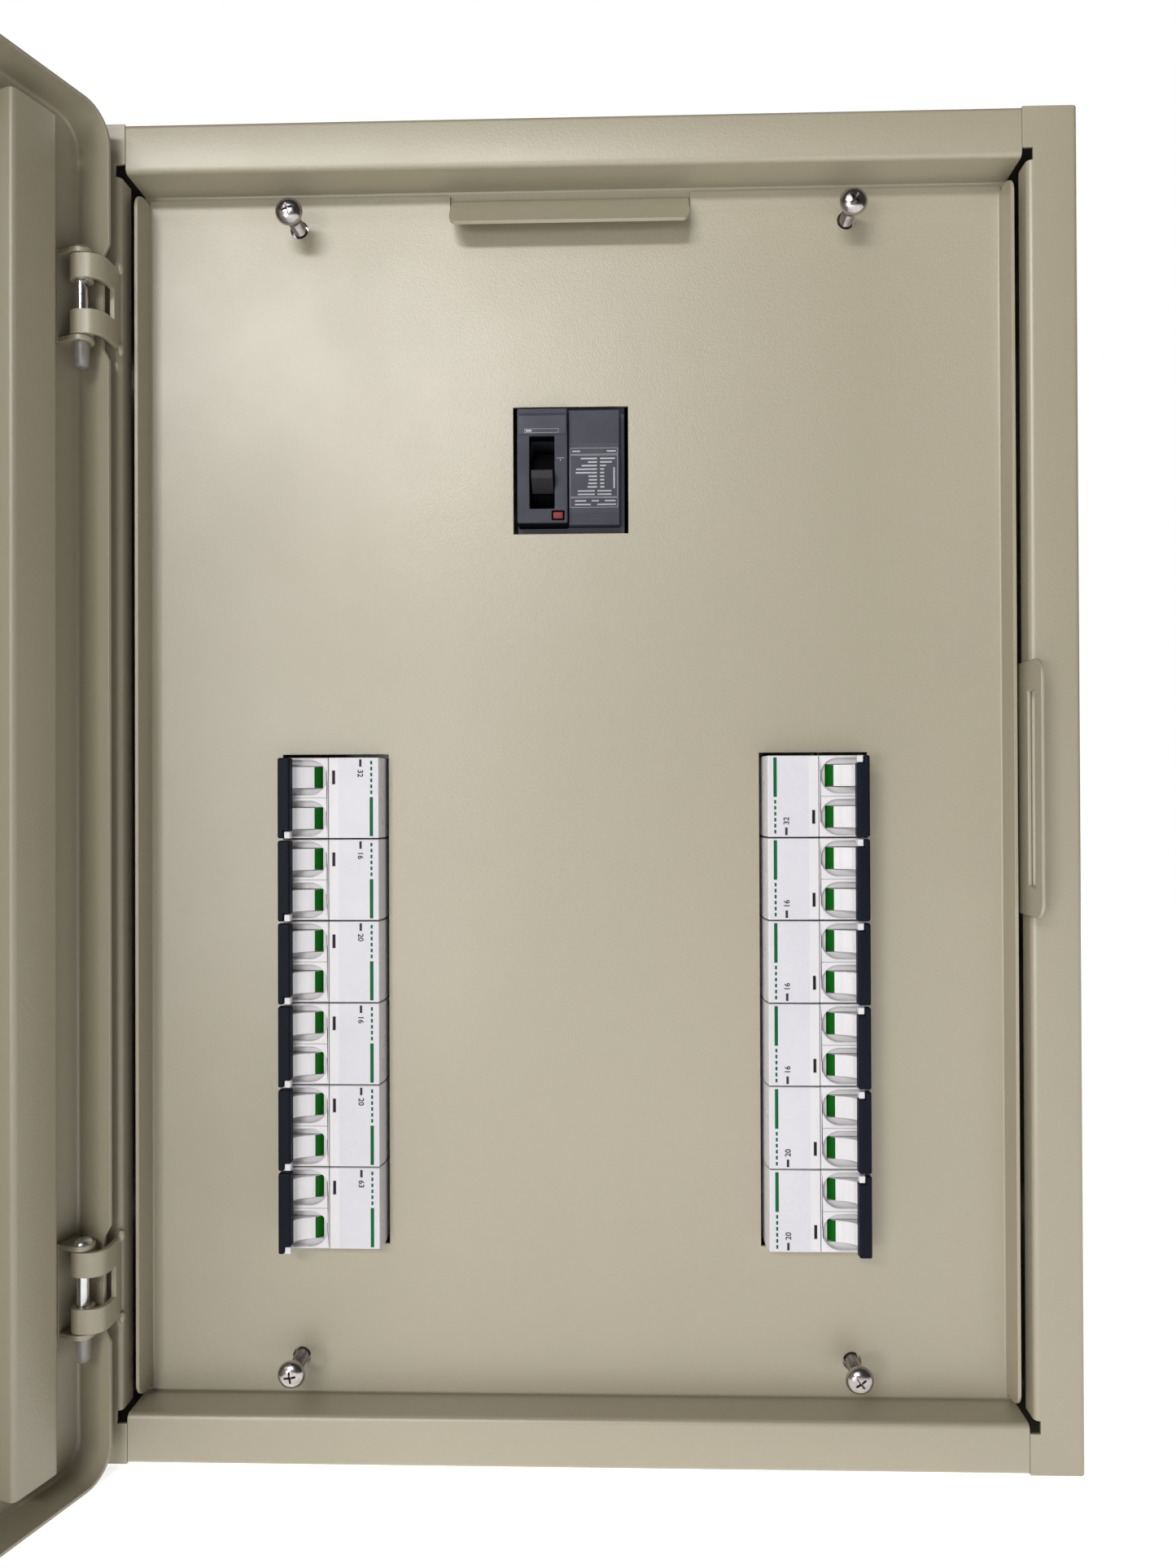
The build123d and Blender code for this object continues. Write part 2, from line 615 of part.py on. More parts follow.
with BuildPart() as main_switch_cover:
    with BuildSketch(Plane.XZ.offset(-BASE_FRONT)):
        with Locations((0, MAIN_Z)):
            RectangleRounded(BASE_W, BASE_H, 1.5)
    extrude(amount=BASE_FRONT - SHOULDER_FRONT)
    for end in (-1, 1):
        for x in (-TERMINAL_X, TERMINAL_X):
            with Locations((x, BASE_FRONT - 7, MAIN_Z + end * (BASE_H / 2 - 8))):
                Box(18, 14.2, 20, mode=Mode.SUBTRACT)
            with Locations(Location((x, SHOULDER_FRONT, MAIN_Z + end * (BASE_H / 2 - 9)), (90, 0, 0))):
                Cylinder(4, 50, mode=Mode.SUBTRACT)
    # Raised front: the toggle side stands a little prouder than the label side
    with BuildSketch(Plane.XZ.offset(-SHOULDER_FRONT)):
        with Locations((MAIN_X - 12.2, NOSE_Z)):
            Rectangle(24, NOSE_H)
    extrude(amount=SHOULDER_FRONT - TOGGLE_FACE)
    with BuildSketch(Plane.XZ.offset(-SHOULDER_FRONT)):
        with Locations((MAIN_X + 10.8, NOSE_Z)):
            Rectangle(22, NOSE_H)
    extrude(amount=SHOULDER_FRONT - LABEL_FACE)
    with Locations((MAIN_AXIS[0], TOGGLE_FACE, MAIN_AXIS[2])):
        Box(SLOT_W, 20, SLOT_H, mode=Mode.SUBTRACT)
    with Locations((MAIN_AXIS[0], MAIN_AXIS[1] - 1, MAIN_AXIS[2])):
        Box(SLOT_W + 1, 31, 2 * DRUM_R + 3, mode=Mode.SUBTRACT)
    with Locations(Location(MAIN_AXIS, (0, 90, 0))):
        Cylinder(2.05, SLOT_W + 6, mode=Mode.SUBTRACT)
    with Locations((BUTTON_X, TOGGLE_FACE, BUTTON_Z)):
        Box(5.6, 24, 4.4, mode=Mode.SUBTRACT)
keep(main_switch_cover, "main_switch_cover")

MAIN_OFF = 12                    # the toggle is stored off, tilted down
with BuildPart() as main_switch_toggle:
    with BuildSketch(Plane.YZ.offset(MAIN_AXIS[0] - SLOT_W / 2 + 0.3)):
        with Locations(Location((MAIN_AXIS[1], MAIN_AXIS[2]), MAIN_OFF)):
            Circle(DRUM_R)
            with Locations((-DRUM_R - 1, 0)):
                Rectangle(16, 10.4)
            with Locations((DRUM_R / 2 + 4, 0)):
                Rectangle(DRUM_R + 8, 2 * DRUM_R + 2, mode=Mode.SUBTRACT)
            Circle(4)
    extrude(amount=SLOT_W - 0.6)
    with Locations(Location(MAIN_AXIS, (0, 90, 0))):
        Cylinder(2, SLOT_W + 5)
keep(main_switch_toggle, "main_switch_toggle")

with BuildPart() as trip_button:
    with Locations((BUTTON_X, TOGGLE_FACE + 2.7, BUTTON_Z)):
        Box(4.6, 6, 3.4)
    fillet(faces().sort_by(Axis.Y)[0].edges(), 0.5)
keep(trip_button, "trip_button")

# ---------------------------------------------------------------- modular breakers
NOSE = 22.5                      # half-width of the raised nose
BODY = 42.5                      # half-length of the body
MCB_SHOULDER = RAIL_FACE - 44
MCB_BACK = RAIL_FACE + 3.5
POCKET_W = 16
POCKET_DEEP = 4
BARREL_R = 8.6
BARREL_W = 9.4
SHAFT_R = 1.5
SHAFT_BORE = 1.55
SHAFT_L = 32.6

with BuildPart() as breaker_case:
    with BuildSketch(Plane.XY.offset(-MCB_W / 2)):
        with BuildLine():
            Polyline(
                (-NOSE, MCB_FACE + 0.8),
                (-NOSE + 0.8, MCB_FACE),
                (NOSE - 1.8, MCB_FACE),
                (NOSE, MCB_FACE + 9),
                (NOSE, MCB_SHOULDER),
                (BODY - 2, MCB_SHOULDER),
                (BODY, MCB_SHOULDER + 5),
                (BODY, MCB_BACK),
                (17.8, MCB_BACK),
                (17.8, RAIL_FACE),
                (-17.8, RAIL_FACE),
                (-17.8, MCB_BACK),
                (-BODY, MCB_BACK),
                (-BODY, MCB_SHOULDER + 5),
                (-BODY + 2, MCB_SHOULDER),
                (-NOSE, MCB_SHOULDER),
                close=True,
            )
        make_face()
    extrude(amount=MCB_W)
    for z in (-POLE, POLE):
        # Scooped pocket with a round inner end, and the drum's well under it
        with BuildSketch(Plane.XZ.offset(-MCB_FACE)):
            with Locations((MCB_AXIS_U, z)):
                Circle(POCKET_W / 2)
            with Locations(((MCB_AXIS_U - NOSE - 3) / 2, z)):
                Rectangle(MCB_AXIS_U + NOSE + 3, POCKET_W)
        extrude(amount=-POCKET_DEEP, mode=Mode.SUBTRACT)
        with Locations((MCB_AXIS_U, MCB_AXIS_Y, z)):
            Cylinder(BARREL_R + 0.4, BARREL_W + 1, mode=Mode.SUBTRACT)
        # Cable and busbar entries at both ends, with their clamp screws under the shoulders
        for end in (-1, 1):
            with Locations((end * BODY, -72, z)):
                Box(24, 20, 11, mode=Mode.SUBTRACT)
            with Locations(Location((end * 35, MCB_SHOULDER, z), (90, 0, 0))):
                Cylinder(3.2, 44, mode=Mode.SUBTRACT)
    with Locations((MCB_AXIS_U, MCB_AXIS_Y, 0)):
        Cylinder(SHAFT_BORE, SHAFT_L + 0.6, mode=Mode.SUBTRACT)
    # Joint line between the toggle end and the label end, and the state window
    with Locations((-1.4, MCB_FACE, 0)):
        Box(0.35, 0.8, MCB_W, mode=Mode.SUBTRACT)
    with Locations((0.9, MCB_FACE, POLE)):
        Box(1.3, 1, 6, mode=Mode.SUBTRACT)

with BuildPart() as breaker_toggle:
    # One drum and lever per pole, joined by a shaft and a full-width grip; stored off
    for z in (-POLE, POLE):
        with Locations((MCB_AXIS_U, MCB_AXIS_Y, z)):
            Cylinder(BARREL_R, BARREL_W)
        with BuildSketch(Plane.XY.offset(z - BARREL_W / 2)):
            with BuildLine():
                Polyline(
                    (-18.6, MCB_FACE + 5),
                    (-21.4, MCB_FACE - 5),
                    (-17.6, MCB_FACE - 5),
                    (-15.4, MCB_FACE - 1.6),
                    (-11.6, MCB_FACE + 0.5),
                    (-12, MCB_FACE + 5),
                    close=True,
                )
            make_face()
        extrude(amount=BARREL_W)
    with Locations((MCB_AXIS_U, MCB_AXIS_Y, 0)):
        Cylinder(SHAFT_R, SHAFT_L)
    with BuildSketch(Plane.XY.offset(-(MCB_W - 0.8) / 2)):
        with BuildLine():
            Polyline(
                (-22.2, MCB_FACE - 3),
                (-22.2, MCB_FACE - 9.5),
                (-16.4, MCB_FACE - 9.5),
                (-16, MCB_FACE - 3),
                close=True,
            )
        make_face()
        fillet(vertices(), 1.2)
    extrude(amount=MCB_W - 0.8)

for side, turn in (("left", 0), ("right", 180)):
    for n, z in enumerate(UNIT_Z, start=1):
        x = -STACK_X if side == "left" else STACK_X
        place = Location((x, 0, z), (0, turn, 0))
        keep(breaker_case, f"breaker_{side}_{n}", place)
        keep(breaker_toggle, f"toggle_{side}_{n}", place)
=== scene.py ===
import math

import bmesh
import bpy
from mathutils import Matrix, Vector


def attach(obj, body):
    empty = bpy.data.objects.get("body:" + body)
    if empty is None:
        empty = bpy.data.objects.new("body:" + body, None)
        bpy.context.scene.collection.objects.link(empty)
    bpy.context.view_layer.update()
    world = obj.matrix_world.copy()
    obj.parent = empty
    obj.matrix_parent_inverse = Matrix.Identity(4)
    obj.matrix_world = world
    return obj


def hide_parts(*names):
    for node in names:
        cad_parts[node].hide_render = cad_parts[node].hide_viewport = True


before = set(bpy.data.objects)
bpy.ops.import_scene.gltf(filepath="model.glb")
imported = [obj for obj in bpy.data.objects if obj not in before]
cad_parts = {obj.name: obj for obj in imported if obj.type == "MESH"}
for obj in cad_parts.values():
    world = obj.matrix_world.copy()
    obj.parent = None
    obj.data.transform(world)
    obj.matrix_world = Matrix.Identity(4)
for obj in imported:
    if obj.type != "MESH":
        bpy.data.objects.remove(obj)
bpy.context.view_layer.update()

# ---------------------------------------------------------------- sides of the box
# Each side is one strip of 1.5 mm steel: the wall, the stile folded in across the front and a short return
# folded back beside the cover. The stile laps the rail's end at the corners, behind a small relief notch.

MM = 0.001
SHEET = 1.5


def finish(name, color, roughness, metallic=0.0, **sockets):
    """A material of one Principled shader; the caller adds what varies over the surface."""
    material = bpy.data.materials.new(name)
    material.use_nodes = True
    shader = material.node_tree.nodes["Principled BSDF"]
    shader.inputs["Base Color"].default_value = (*color, 1)
    shader.inputs["Roughness"].default_value = roughness
    shader.inputs["Metallic"].default_value = metallic
    for socket, value in sockets.items():
        shader.inputs[socket.replace("_", " ")].default_value = value
    return material


def grain_group():
    """Fine surface grain as a bump, with slow patches of colour and of roughness."""
    group = bpy.data.node_groups.new("surface_grain", "ShaderNodeTree")
    face = group.interface
    for name, kind, value in (
        ("Color", "NodeSocketColor", (0.8, 0.8, 0.8, 1)),
        ("Patch Color", "NodeSocketColor", (0.7, 0.7, 0.7, 1)),
        ("Patch Scale", "NodeSocketFloat", 12),
        ("Grain Scale", "NodeSocketFloat", 900),
        ("Depth", "NodeSocketFloat", 0.05),
        ("Rough Low", "NodeSocketFloat", 0.3),
        ("Rough High", "NodeSocketFloat", 0.5),
    ):
        face.new_socket(name, in_out="INPUT", socket_type=kind).default_value = value
    results = ("Color", "NodeSocketColor"), ("Roughness", "NodeSocketFloat"), ("Normal", "NodeSocketVector")
    for name, kind in results:
        face.new_socket(name, in_out="OUTPUT", socket_type=kind)
    nodes, link = group.nodes, group.links.new
    given = nodes.new("NodeGroupInput")
    out = nodes.new("NodeGroupOutput")
    place = nodes.new("ShaderNodeTexCoord")
    patch = nodes.new("ShaderNodeTexNoise")
    patch.inputs["Detail"].default_value = 5
    patch.inputs["Roughness"].default_value = 0.6
    link(place.outputs["Object"], patch.inputs["Vector"])
    link(given.outputs["Patch Scale"], patch.inputs["Scale"])
    spread = nodes.new("ShaderNodeMapRange")
    spread.inputs["From Min"].default_value = 0.35
    spread.inputs["From Max"].default_value = 0.65
    link(patch.outputs["Fac"], spread.inputs["Value"])
    tint = nodes.new("ShaderNodeMix")
    tint.data_type = "RGBA"
    link(spread.outputs["Result"], tint.inputs["Factor"])
    link(given.outputs["Color"], tint.inputs["A"])
    link(given.outputs["Patch Color"], tint.inputs["B"])
    link(tint.outputs["Result"], out.inputs["Color"])
    gloss = nodes.new("ShaderNodeMapRange")
    link(spread.outputs["Result"], gloss.inputs["Value"])
    link(given.outputs["Rough Low"], gloss.inputs["To Min"])
    link(given.outputs["Rough High"], gloss.inputs["To Max"])
    link(gloss.outputs["Result"], out.inputs["Roughness"])
    grain = nodes.new("ShaderNodeTexNoise")
    grain.inputs["Detail"].default_value = 3
    link(place.outputs["Object"], grain.inputs["Vector"])
    link(given.outputs["Grain Scale"], grain.inputs["Scale"])
    bump = nodes.new("ShaderNodeBump")
    bump.inputs["Distance"].default_value = 0.001
    link(given.outputs["Depth"], bump.inputs["Strength"])
    link(grain.outputs["Fac"], bump.inputs["Height"])
    link(bump.outputs["Normal"], out.inputs["Normal"])
    return group


SURFACE_GRAIN = grain_group()


def grained(material, **values):
    """Puts the surface grain in a material, with this material's own values."""
    tree = material.node_tree
    grain = tree.nodes.new("ShaderNodeGroup")
    grain.node_tree = SURFACE_GRAIN
    for socket, value in values.items():
        if isinstance(value, tuple):
            value = (*value, 1)
        grain.inputs[socket.replace("_", " ")].default_value = value
    shader = tree.nodes["Principled BSDF"]
    for out, into in (("Color", "Base Color"), ("Roughness", "Roughness"), ("Normal", "Normal")):
        tree.links.new(grain.outputs[out], shader.inputs[into])
    return material


powder_coat = grained(
    finish(
        "powder_coat_beige", (0.34, 0.305, 0.21), 0.45,
        Specular_IOR_Level=0.8, Coat_Weight=0.5, Coat_Roughness=0.35,
    ),
    Color=(0.35, 0.314, 0.228), Patch_Color=(0.336, 0.302, 0.218), Patch_Scale=7,
    Grain_Scale=1250, Depth=0.13, Rough_Low=0.36, Rough_High=0.46,
)


def stood(name, data, *finishes):
    """A new object in the scene, at the origin, with its mesh finished in the given materials."""
    for material in finishes:
        data.materials.append(material)
    piece = bpy.data.objects.new(name, data)
    bpy.context.scene.collection.objects.link(piece)
    return piece


def closed_up(mesh, gap):
    """Merges corners closer than a gap in metres, drops loose ones and turns every face outwards."""
    build = bmesh.new()
    build.from_mesh(mesh)
    bmesh.ops.remove_doubles(build, verts=build.verts, dist=gap)
    bmesh.ops.delete(build, geom=[v for v in build.verts if not v.link_faces], context="VERTS")
    bmesh.ops.recalc_face_normals(build, faces=build.faces)
    build.to_mesh(mesh)
    build.free()
    mesh.shade_smooth()


def cage(name, points, faces, *finishes):
    """A piece from corner points in millimetres."""
    mesh = bpy.data.meshes.new(name)
    mesh.from_pydata([Vector(p) * MM for p in points], [], faces)
    closed_up(mesh, 1e-5)
    return stood(name, mesh, *finishes)


def as_drawn(u, v, w):
    """A place whose drawing axes are the frame's own."""
    return (u, v, w)


def strip(profile, cuts, place, kept=lambda fold, row: True):
    """Corners and faces of a folded strip: 'profile' runs across its folds and 'cuts' along them."""
    points = [place(u, v, w) for w in cuts for u, v in profile]
    wide = len(profile)
    faces = [
        (row * wide + fold, row * wide + fold + 1, (row + 1) * wide + fold + 1, (row + 1) * wide + fold)
        for row in range(len(cuts) - 1)
        for fold in range(wide - 1)
        if kept(fold, row)
    ]
    return points, faces


def join(*parts):
    """Corners and faces of several parts as one list of each."""
    points, faces = [], []
    for more_points, more_faces in parts:
        faces += [tuple(n + len(points) for n in face) for face in more_faces]
        points += more_points
    return points, faces


def soften(piece, width, segments=2, angle=40):
    """Rounds a piece's sharp edges."""
    bevel = piece.modifiers.new("rounded edges", "BEVEL")
    bevel.width = width * MM
    bevel.segments = segments
    bevel.limit_method = "ANGLE"
    bevel.angle_limit = math.radians(angle)
    bevel.harden_normals = True
    return piece


def fold_sheet(piece, bend, thick=SHEET, edge=0.3):
    """Rounds the folds, gives the sheet its thickness and breaks its cut edges."""
    bends = piece.modifiers.new("bends", "BEVEL")
    bends.width = bend * MM
    bends.segments = 4
    bends.limit_method = "ANGLE"
    bends.angle_limit = math.radians(25)
    wall = piece.modifiers.new("sheet", "SOLIDIFY")
    wall.thickness = thick * MM
    wall.offset = 0
    wall.use_even_offset = True
    return soften(piece, edge, angle=55)


BOX_X = 216
BOX_Z = 290
FRONT_Y = -130
STILE_X = 194.6
RAIL_Z = 268.5
RETURN_END = -119.5
SEAM_X = 192.8
BEND = 1.6
NOTCH_W = 1.9                            # the relief notch beside each end of a rail
NOTCH_OUT, NOTCH_IN = 4, 1.4             # how far it reaches to either side of the rail's edge
mid = SHEET / 2

for side, sign in (("left", -1), ("right", 1)):
    outer, inner, face = sign * (BOX_X - mid), sign * (STILE_X + mid), FRONT_Y + mid
    notch = inner + sign * NOTCH_W
    across = [(outer, 0), (outer, face), (notch, face), (inner, face), (inner, RETURN_END)]
    along = [-BOX_Z, -RAIL_Z - NOTCH_OUT, -RAIL_Z + NOTCH_IN, RAIL_Z - NOTCH_IN, RAIL_Z + NOTCH_OUT, BOX_Z]
    # folds: wall, stile, stile's inner edge, return
    rows = {0: (0, 1, 2, 3, 4), 1: (0, 1, 2, 3, 4), 2: (0, 2, 4), 3: (2,)}
    folded = strip(across, along, as_drawn, lambda fold, row: row in rows[fold])
    laps = [strip([(inner, face), (sign * SEAM_X, face)], cuts, as_drawn) for cuts in (along[:2], along[-2:])]
    panel = fold_sheet(cage(f"side_{side}", *join(folded, *laps), powder_coat), BEND)
    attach(panel, "root")
    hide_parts(f"{side}_side")

# ---------------------------------------------------------------- top and bottom of the box
# The top and bottom walls have an opening for a gland plate. Each folds down into the front rail, back again,
# and down once more into a lip that the cover lies on, with a clearance hole for each cover screw.

SCREW_X = 122
SCREW_Z = 252
LIP_Y = -108.65
LIP_END = 244.5
CELL_X, CELL_Z = 8, 7.5                  # half the flat cell round each screw's hole
HOLE_R = 4
CORNER_CUT = 3.5                         # how far short of the front a wall stops at its two front corners
GLAND_X = SCREW_X + CELL_X
GLAND_Y = (-23, -93)


def holed_cell(left, right, low, high, centre, radius, place):
    """A flat cell of sheet with a round hole through it."""
    steps = 24
    corners = [(right, high), (left, high), (left, low), (right, low)]
    points, faces = [place(*c) for c in corners], []
    for n in range(steps):
        turn = math.tau * (n / steps + 1 / 8)
        points.append(place(centre[0] + radius * math.cos(turn), centre[1] + radius * math.sin(turn)))
    quarter = steps // 4
    for n in range(4):
        bow = [4 + (n * quarter + k) % steps for k in range(quarter + 1)]
        faces.append((n, (n + 1) % 4, *reversed(bow)))
    return points, faces


for side, sign in (("top", 1), ("bottom", -1)):
    wall, rail = BOX_Z - mid, RAIL_Z + mid
    across = [
        (0, wall), (GLAND_Y[0], wall), (GLAND_Y[1], wall), (FRONT_Y + CORNER_CUT, wall), (FRONT_Y + mid, wall),
        (FRONT_Y + mid, rail), (LIP_Y, rail), (LIP_Y, 2 * SCREW_Z - LIP_END), (LIP_Y, LIP_END),
    ]
    half_along = [SCREW_X - CELL_X, GLAND_X, SEAM_X - 0.1, BOX_X - SHEET - 0.1]
    along = [-x for x in reversed(half_along)] + half_along

    def kept(fold, row):
        """Leaves out the gland opening, the cells of the screw holes, and the rail outside the seams."""
        gland = fold == 1 and 2 <= row <= 4
        hole = fold == 7 and row in (2, 4)
        past_seam = fold >= 3 and row in (0, 6)
        return not (gland or hole or past_seam)

    folded = strip(across, along, lambda u, v, w: (w, u, sign * v), kept)
    holes = [
        holed_cell(
            x - CELL_X, x + CELL_X, LIP_END, 2 * SCREW_Z - LIP_END, (x, SCREW_Z), HOLE_R,
            lambda u, v: (u, LIP_Y, sign * v),
        )
        for x in (-SCREW_X, SCREW_X)
    ]
    panel = fold_sheet(cage(f"rail_{side}", *join(folded, *holes), powder_coat), BEND)
    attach(panel, "root")
    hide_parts(f"{side}_panel")

# ---------------------------------------------------------------- back, gland plates and their fastenings
# A flat back panel with four wall holes, blank gland plates screwed up against the walls, and weld nuts behind
# the lips. These keep their designed shapes.

zinc = grained(
    finish("zinc_plate", (0.6, 0.6, 0.58), 0.4, metallic=1.0),
    Color=(0.62, 0.62, 0.6), Patch_Color=(0.5, 0.51, 0.52), Patch_Scale=60,
    Grain_Scale=2500, Depth=0.05, Rough_Low=0.28, Rough_High=0.5,
)


def dress(material, *names):
    """Gives designed parts that keep their shape a finished surface."""
    for name in names:
        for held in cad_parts[name].material_slots:
            held.material = material


dress(powder_coat, "back_panel", "gland_plates")
dress(zinc, "gland_screws", "cover_nuts")

# ---------------------------------------------------------------- striker plate
# A slotted plate welded to the stile on the lock side: the door's cam turns through the slot and pulls against
# its front bar. Its two free corners are rounded.

STRIKER_X = STILE_X - mid
STRIKER_Z = 54
STRIKER_OUT = FRONT_Y - 16.5
STRIKER_R = 8
SLOT_Z = 41
SLOT_Y = (FRONT_Y - 1, FRONT_Y - 9)


def arc(centre, radius, start, end, steps):
    """Points along an arc in a plane, angles in degrees."""
    turns = [math.radians(start + (end - start) * n / steps) for n in range(steps + 1)]
    return [(centre[0] + radius * math.cos(t), centre[1] + radius * math.sin(t)) for t in turns]


def applied(piece):
    """The finished mesh of a piece; the piece itself is removed."""
    bpy.context.view_layer.update()
    mesh = bpy.data.meshes.new_from_object(piece.evaluated_get(bpy.context.evaluated_depsgraph_get()))
    bpy.data.objects.remove(piece)
    return mesh


def cut_plate(name, outlines, low, high, edge, place, *finishes):
    """A flat plate between two heights from closed outlines in millimetres, the first one its rim."""
    drawing = bpy.data.curves.new(name, "CURVE")
    drawing.dimensions = "2D"
    drawing.fill_mode = "BOTH"
    drawing.extrude = ((high - low) / 2 - edge) * MM
    drawing.bevel_depth = edge * MM
    drawing.bevel_resolution = 1
    drawing.offset = -edge * MM
    for outline in outlines:
        line = drawing.splines.new("POLY")
        line.points.add(len(outline) - 1)
        for point, (u, v) in zip(line.points, outline):
            point.co = (u * MM, v * MM, 0, 1)
        line.use_cyclic_u = True
    mesh = applied(stood(name, drawing))
    mesh.transform(Matrix.Translation((0, 0, (low + high) / 2 * MM)))
    mesh.transform(place)
    closed_up(mesh, 2e-6)
    mesh.set_sharp_from_angle(angle=math.radians(50))
    mesh.materials.clear()
    piece = stood(name, mesh, *finishes)
    flats = piece.modifiers.new("flat faces stay flat", "WEIGHTED_NORMAL")
    flats.keep_sharp = True
    return piece


def plane(u, v):
    """A place whose drawing axes lie along u and v, at the frame's origin."""
    u, v = Vector(u), Vector(v)
    w = u.cross(v)
    return Matrix((u, v, w)).transposed().to_4x4()


DEPTH_AND_HEIGHT = plane((0, 1, 0), (0, 0, 1))

out, up = STRIKER_OUT + STRIKER_R, STRIKER_Z - STRIKER_R
rim = [
    (RETURN_END, STRIKER_Z), *arc((out, up), STRIKER_R, 90, 180, 8),
    *arc((out, -up), STRIKER_R, 180, 270, 8), (RETURN_END, -STRIKER_Z),
]
slot = [(SLOT_Y[0], -SLOT_Z), (SLOT_Y[0], SLOT_Z), (SLOT_Y[1], SLOT_Z), (SLOT_Y[1], -SLOT_Z)]
striker = cut_plate(
    "striker", [rim, slot], STRIKER_X - mid, STRIKER_X + mid, 0.35, DEPTH_AND_HEIGHT, powder_coat
)
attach(striker, "root")
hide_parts("striker_plate")

# ---------------------------------------------------------------- hinges
# Two steel straps are welded to the front of the left stile. Each turns outwards in two arms that roll round a
# pin, which a bracket on the door holds between two ears. Straps and brackets are painted with the box.

PIN = Vector((-205.5, -143.3, 0))
PIN_R = 2.5
HINGE_Z = (209, -209)
ARM = 2.2
EYE_R = PIN_R + 0.05 + ARM / 2
ARM_X = -STILE_X - 1.5
ARM_TURN = 6
ARM_H = 34
WINDOW_H = 13
EAR = 2.3
EAR_R = 5
EAR_LOW = ARM_H / 2 + 0.3
EAR_END = EAR_LOW + EAR
DOOR_SKIN_Y = -153.3
DOOR_OPEN = -110
swing = (
    Matrix.Translation(PIN * MM)
    @ Matrix.Rotation(math.radians(DOOR_OPEN), 4, "Z")
    @ Matrix.Translation(-PIN * MM)
)


def swung(piece):
    """Moves a door piece, made with the door shut, to the open door."""
    piece.data.transform(swing)
    piece.data.update()
    return piece


TURNED_EDGE = math.radians(38)


def turned(name, profile, place, *finishes, steps=32):
    """A turned piece: the profile, (radius, height) pairs from top to bottom, spun about the vertical."""
    mesh = bpy.data.meshes.new(name)
    edges = [(n, n + 1) for n in range(len(profile) - 1)]
    mesh.from_pydata([(r * MM, 0, z * MM) for r, z in profile], edges, [])
    draft = stood(name, mesh)
    spin = draft.modifiers.new("turned", "SCREW")
    spin.steps = spin.render_steps = steps
    spin.use_merge_vertices = True
    spin.merge_threshold = 1e-6
    spin.use_normal_calculate = True
    mesh = applied(draft)
    closed_up(mesh, 1e-6)
    mesh.transform(place)
    mesh.set_sharp_from_angle(angle=TURNED_EDGE)
    return stood(name, mesh, *finishes)


def at(x, y, z):
    """A place in millimetres."""
    return Matrix.Translation(Vector((x, y, z)) * MM)


def fuse(name, pieces):
    """One piece from several: their finished meshes together, each with its own materials."""
    build = bmesh.new()
    materials = []
    for part in pieces:
        held = list(part.data.materials)
        materials += [material for material in held if material not in materials]
        mesh = applied(part)
        for face in mesh.polygons:
            face.material_index = materials.index(held[face.material_index])
        build.from_mesh(mesh)
    mesh = bpy.data.meshes.new(name)
    build.to_mesh(mesh)
    build.free()
    return stood(name, mesh, *materials)


roll = arc((PIN.x, PIN.y), EYE_R, -90, -400, 20)
turn = arc((ARM_X - ARM_TURN, PIN.y - EYE_R + ARM_TURN), ARM_TURN, 0, -90, 6)
strap = [(ARM_X, FRONT_Y + 0.3), (ARM_X, FRONT_Y - 5.5), *turn, *roll]
arms = [
    strip(
        strap, [z - ARM_H / 2, z - WINDOW_H / 2, z + WINDOW_H / 2, z + ARM_H / 2], as_drawn,
        lambda fold, row: fold < 1 or row != 1,
    )
    for z in HINGE_Z
]
hinge_arms = cage("hinge_straps", *join(*arms), powder_coat)
wall = hinge_arms.modifiers.new("strap", "SOLIDIFY")
wall.thickness = ARM * MM
wall.offset = 0
soften(hinge_arms, 0.4, angle=50)
bead = [(0, 2.8), (1.0, 2.2), (1.5, 0.7), (1.4, -0.8), (0.9, -2.1), (0, -2.8)]
welds = [
    turned("weld", bead, at(ARM_X + 1.3, FRONT_Y - 0.3, z + end * (ARM_H / 2 + 0.6)), powder_coat, steps=12)
    for z in HINGE_Z for end in (-1, 1)
]
hinge_arms = fuse("hinge_straps", [hinge_arms, *welds])
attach(hinge_arms, "root")
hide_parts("hinge_arms")

WIDTH_AND_DEPTH = plane((1, 0, 0), (0, 1, 0))
ears, pins, caps = [], [], []
bright_steel = grained(
    finish("bright_steel", (0.75, 0.76, 0.78), 0.22, metallic=1.0),
    Color=(0.78, 0.79, 0.81), Patch_Color=(0.62, 0.63, 0.66), Patch_Scale=90,
    Grain_Scale=1800, Depth=0.04, Rough_Low=0.15, Rough_High=0.32,
)
frosted_cap = grained(
    finish("frosted_cap", (0.5, 0.48, 0.45), 0.3, Transmission_Weight=0.8, IOR=1.46),
    Color=(0.74, 0.72, 0.69), Patch_Color=(0.62, 0.6, 0.57), Patch_Scale=150,
    Grain_Scale=1500, Depth=0.05, Rough_Low=0.28, Rough_High=0.42,
)
ear = [(PIN.x - EAR_R, DOOR_SKIN_Y), (PIN.x + EAR_R, DOOR_SKIN_Y), *arc((PIN.x, PIN.y), EAR_R, 0, 180, 12)]
foot = EAR_R + 0.5
base = [(PIN.x - foot, -EAR_END), (PIN.x + foot, -EAR_END), (PIN.x + foot, EAR_END), (PIN.x - foot, EAR_END)]
rivet_head = [(0, 2.2), (1.6, 2.1), (3.1, 1.5), (3.9, 0.5), (4, 0), (PIN_R, 0)]
pin_tail = [(PIN_R, 0), (1.7, -0.5), (1.7, -8), (1.3, -8.6), (0, -8.6)]
pin_profile = [(r, EAR_END + h) for r, h in rivet_head] + [(r, -EAR_END + h) for r, h in pin_tail]
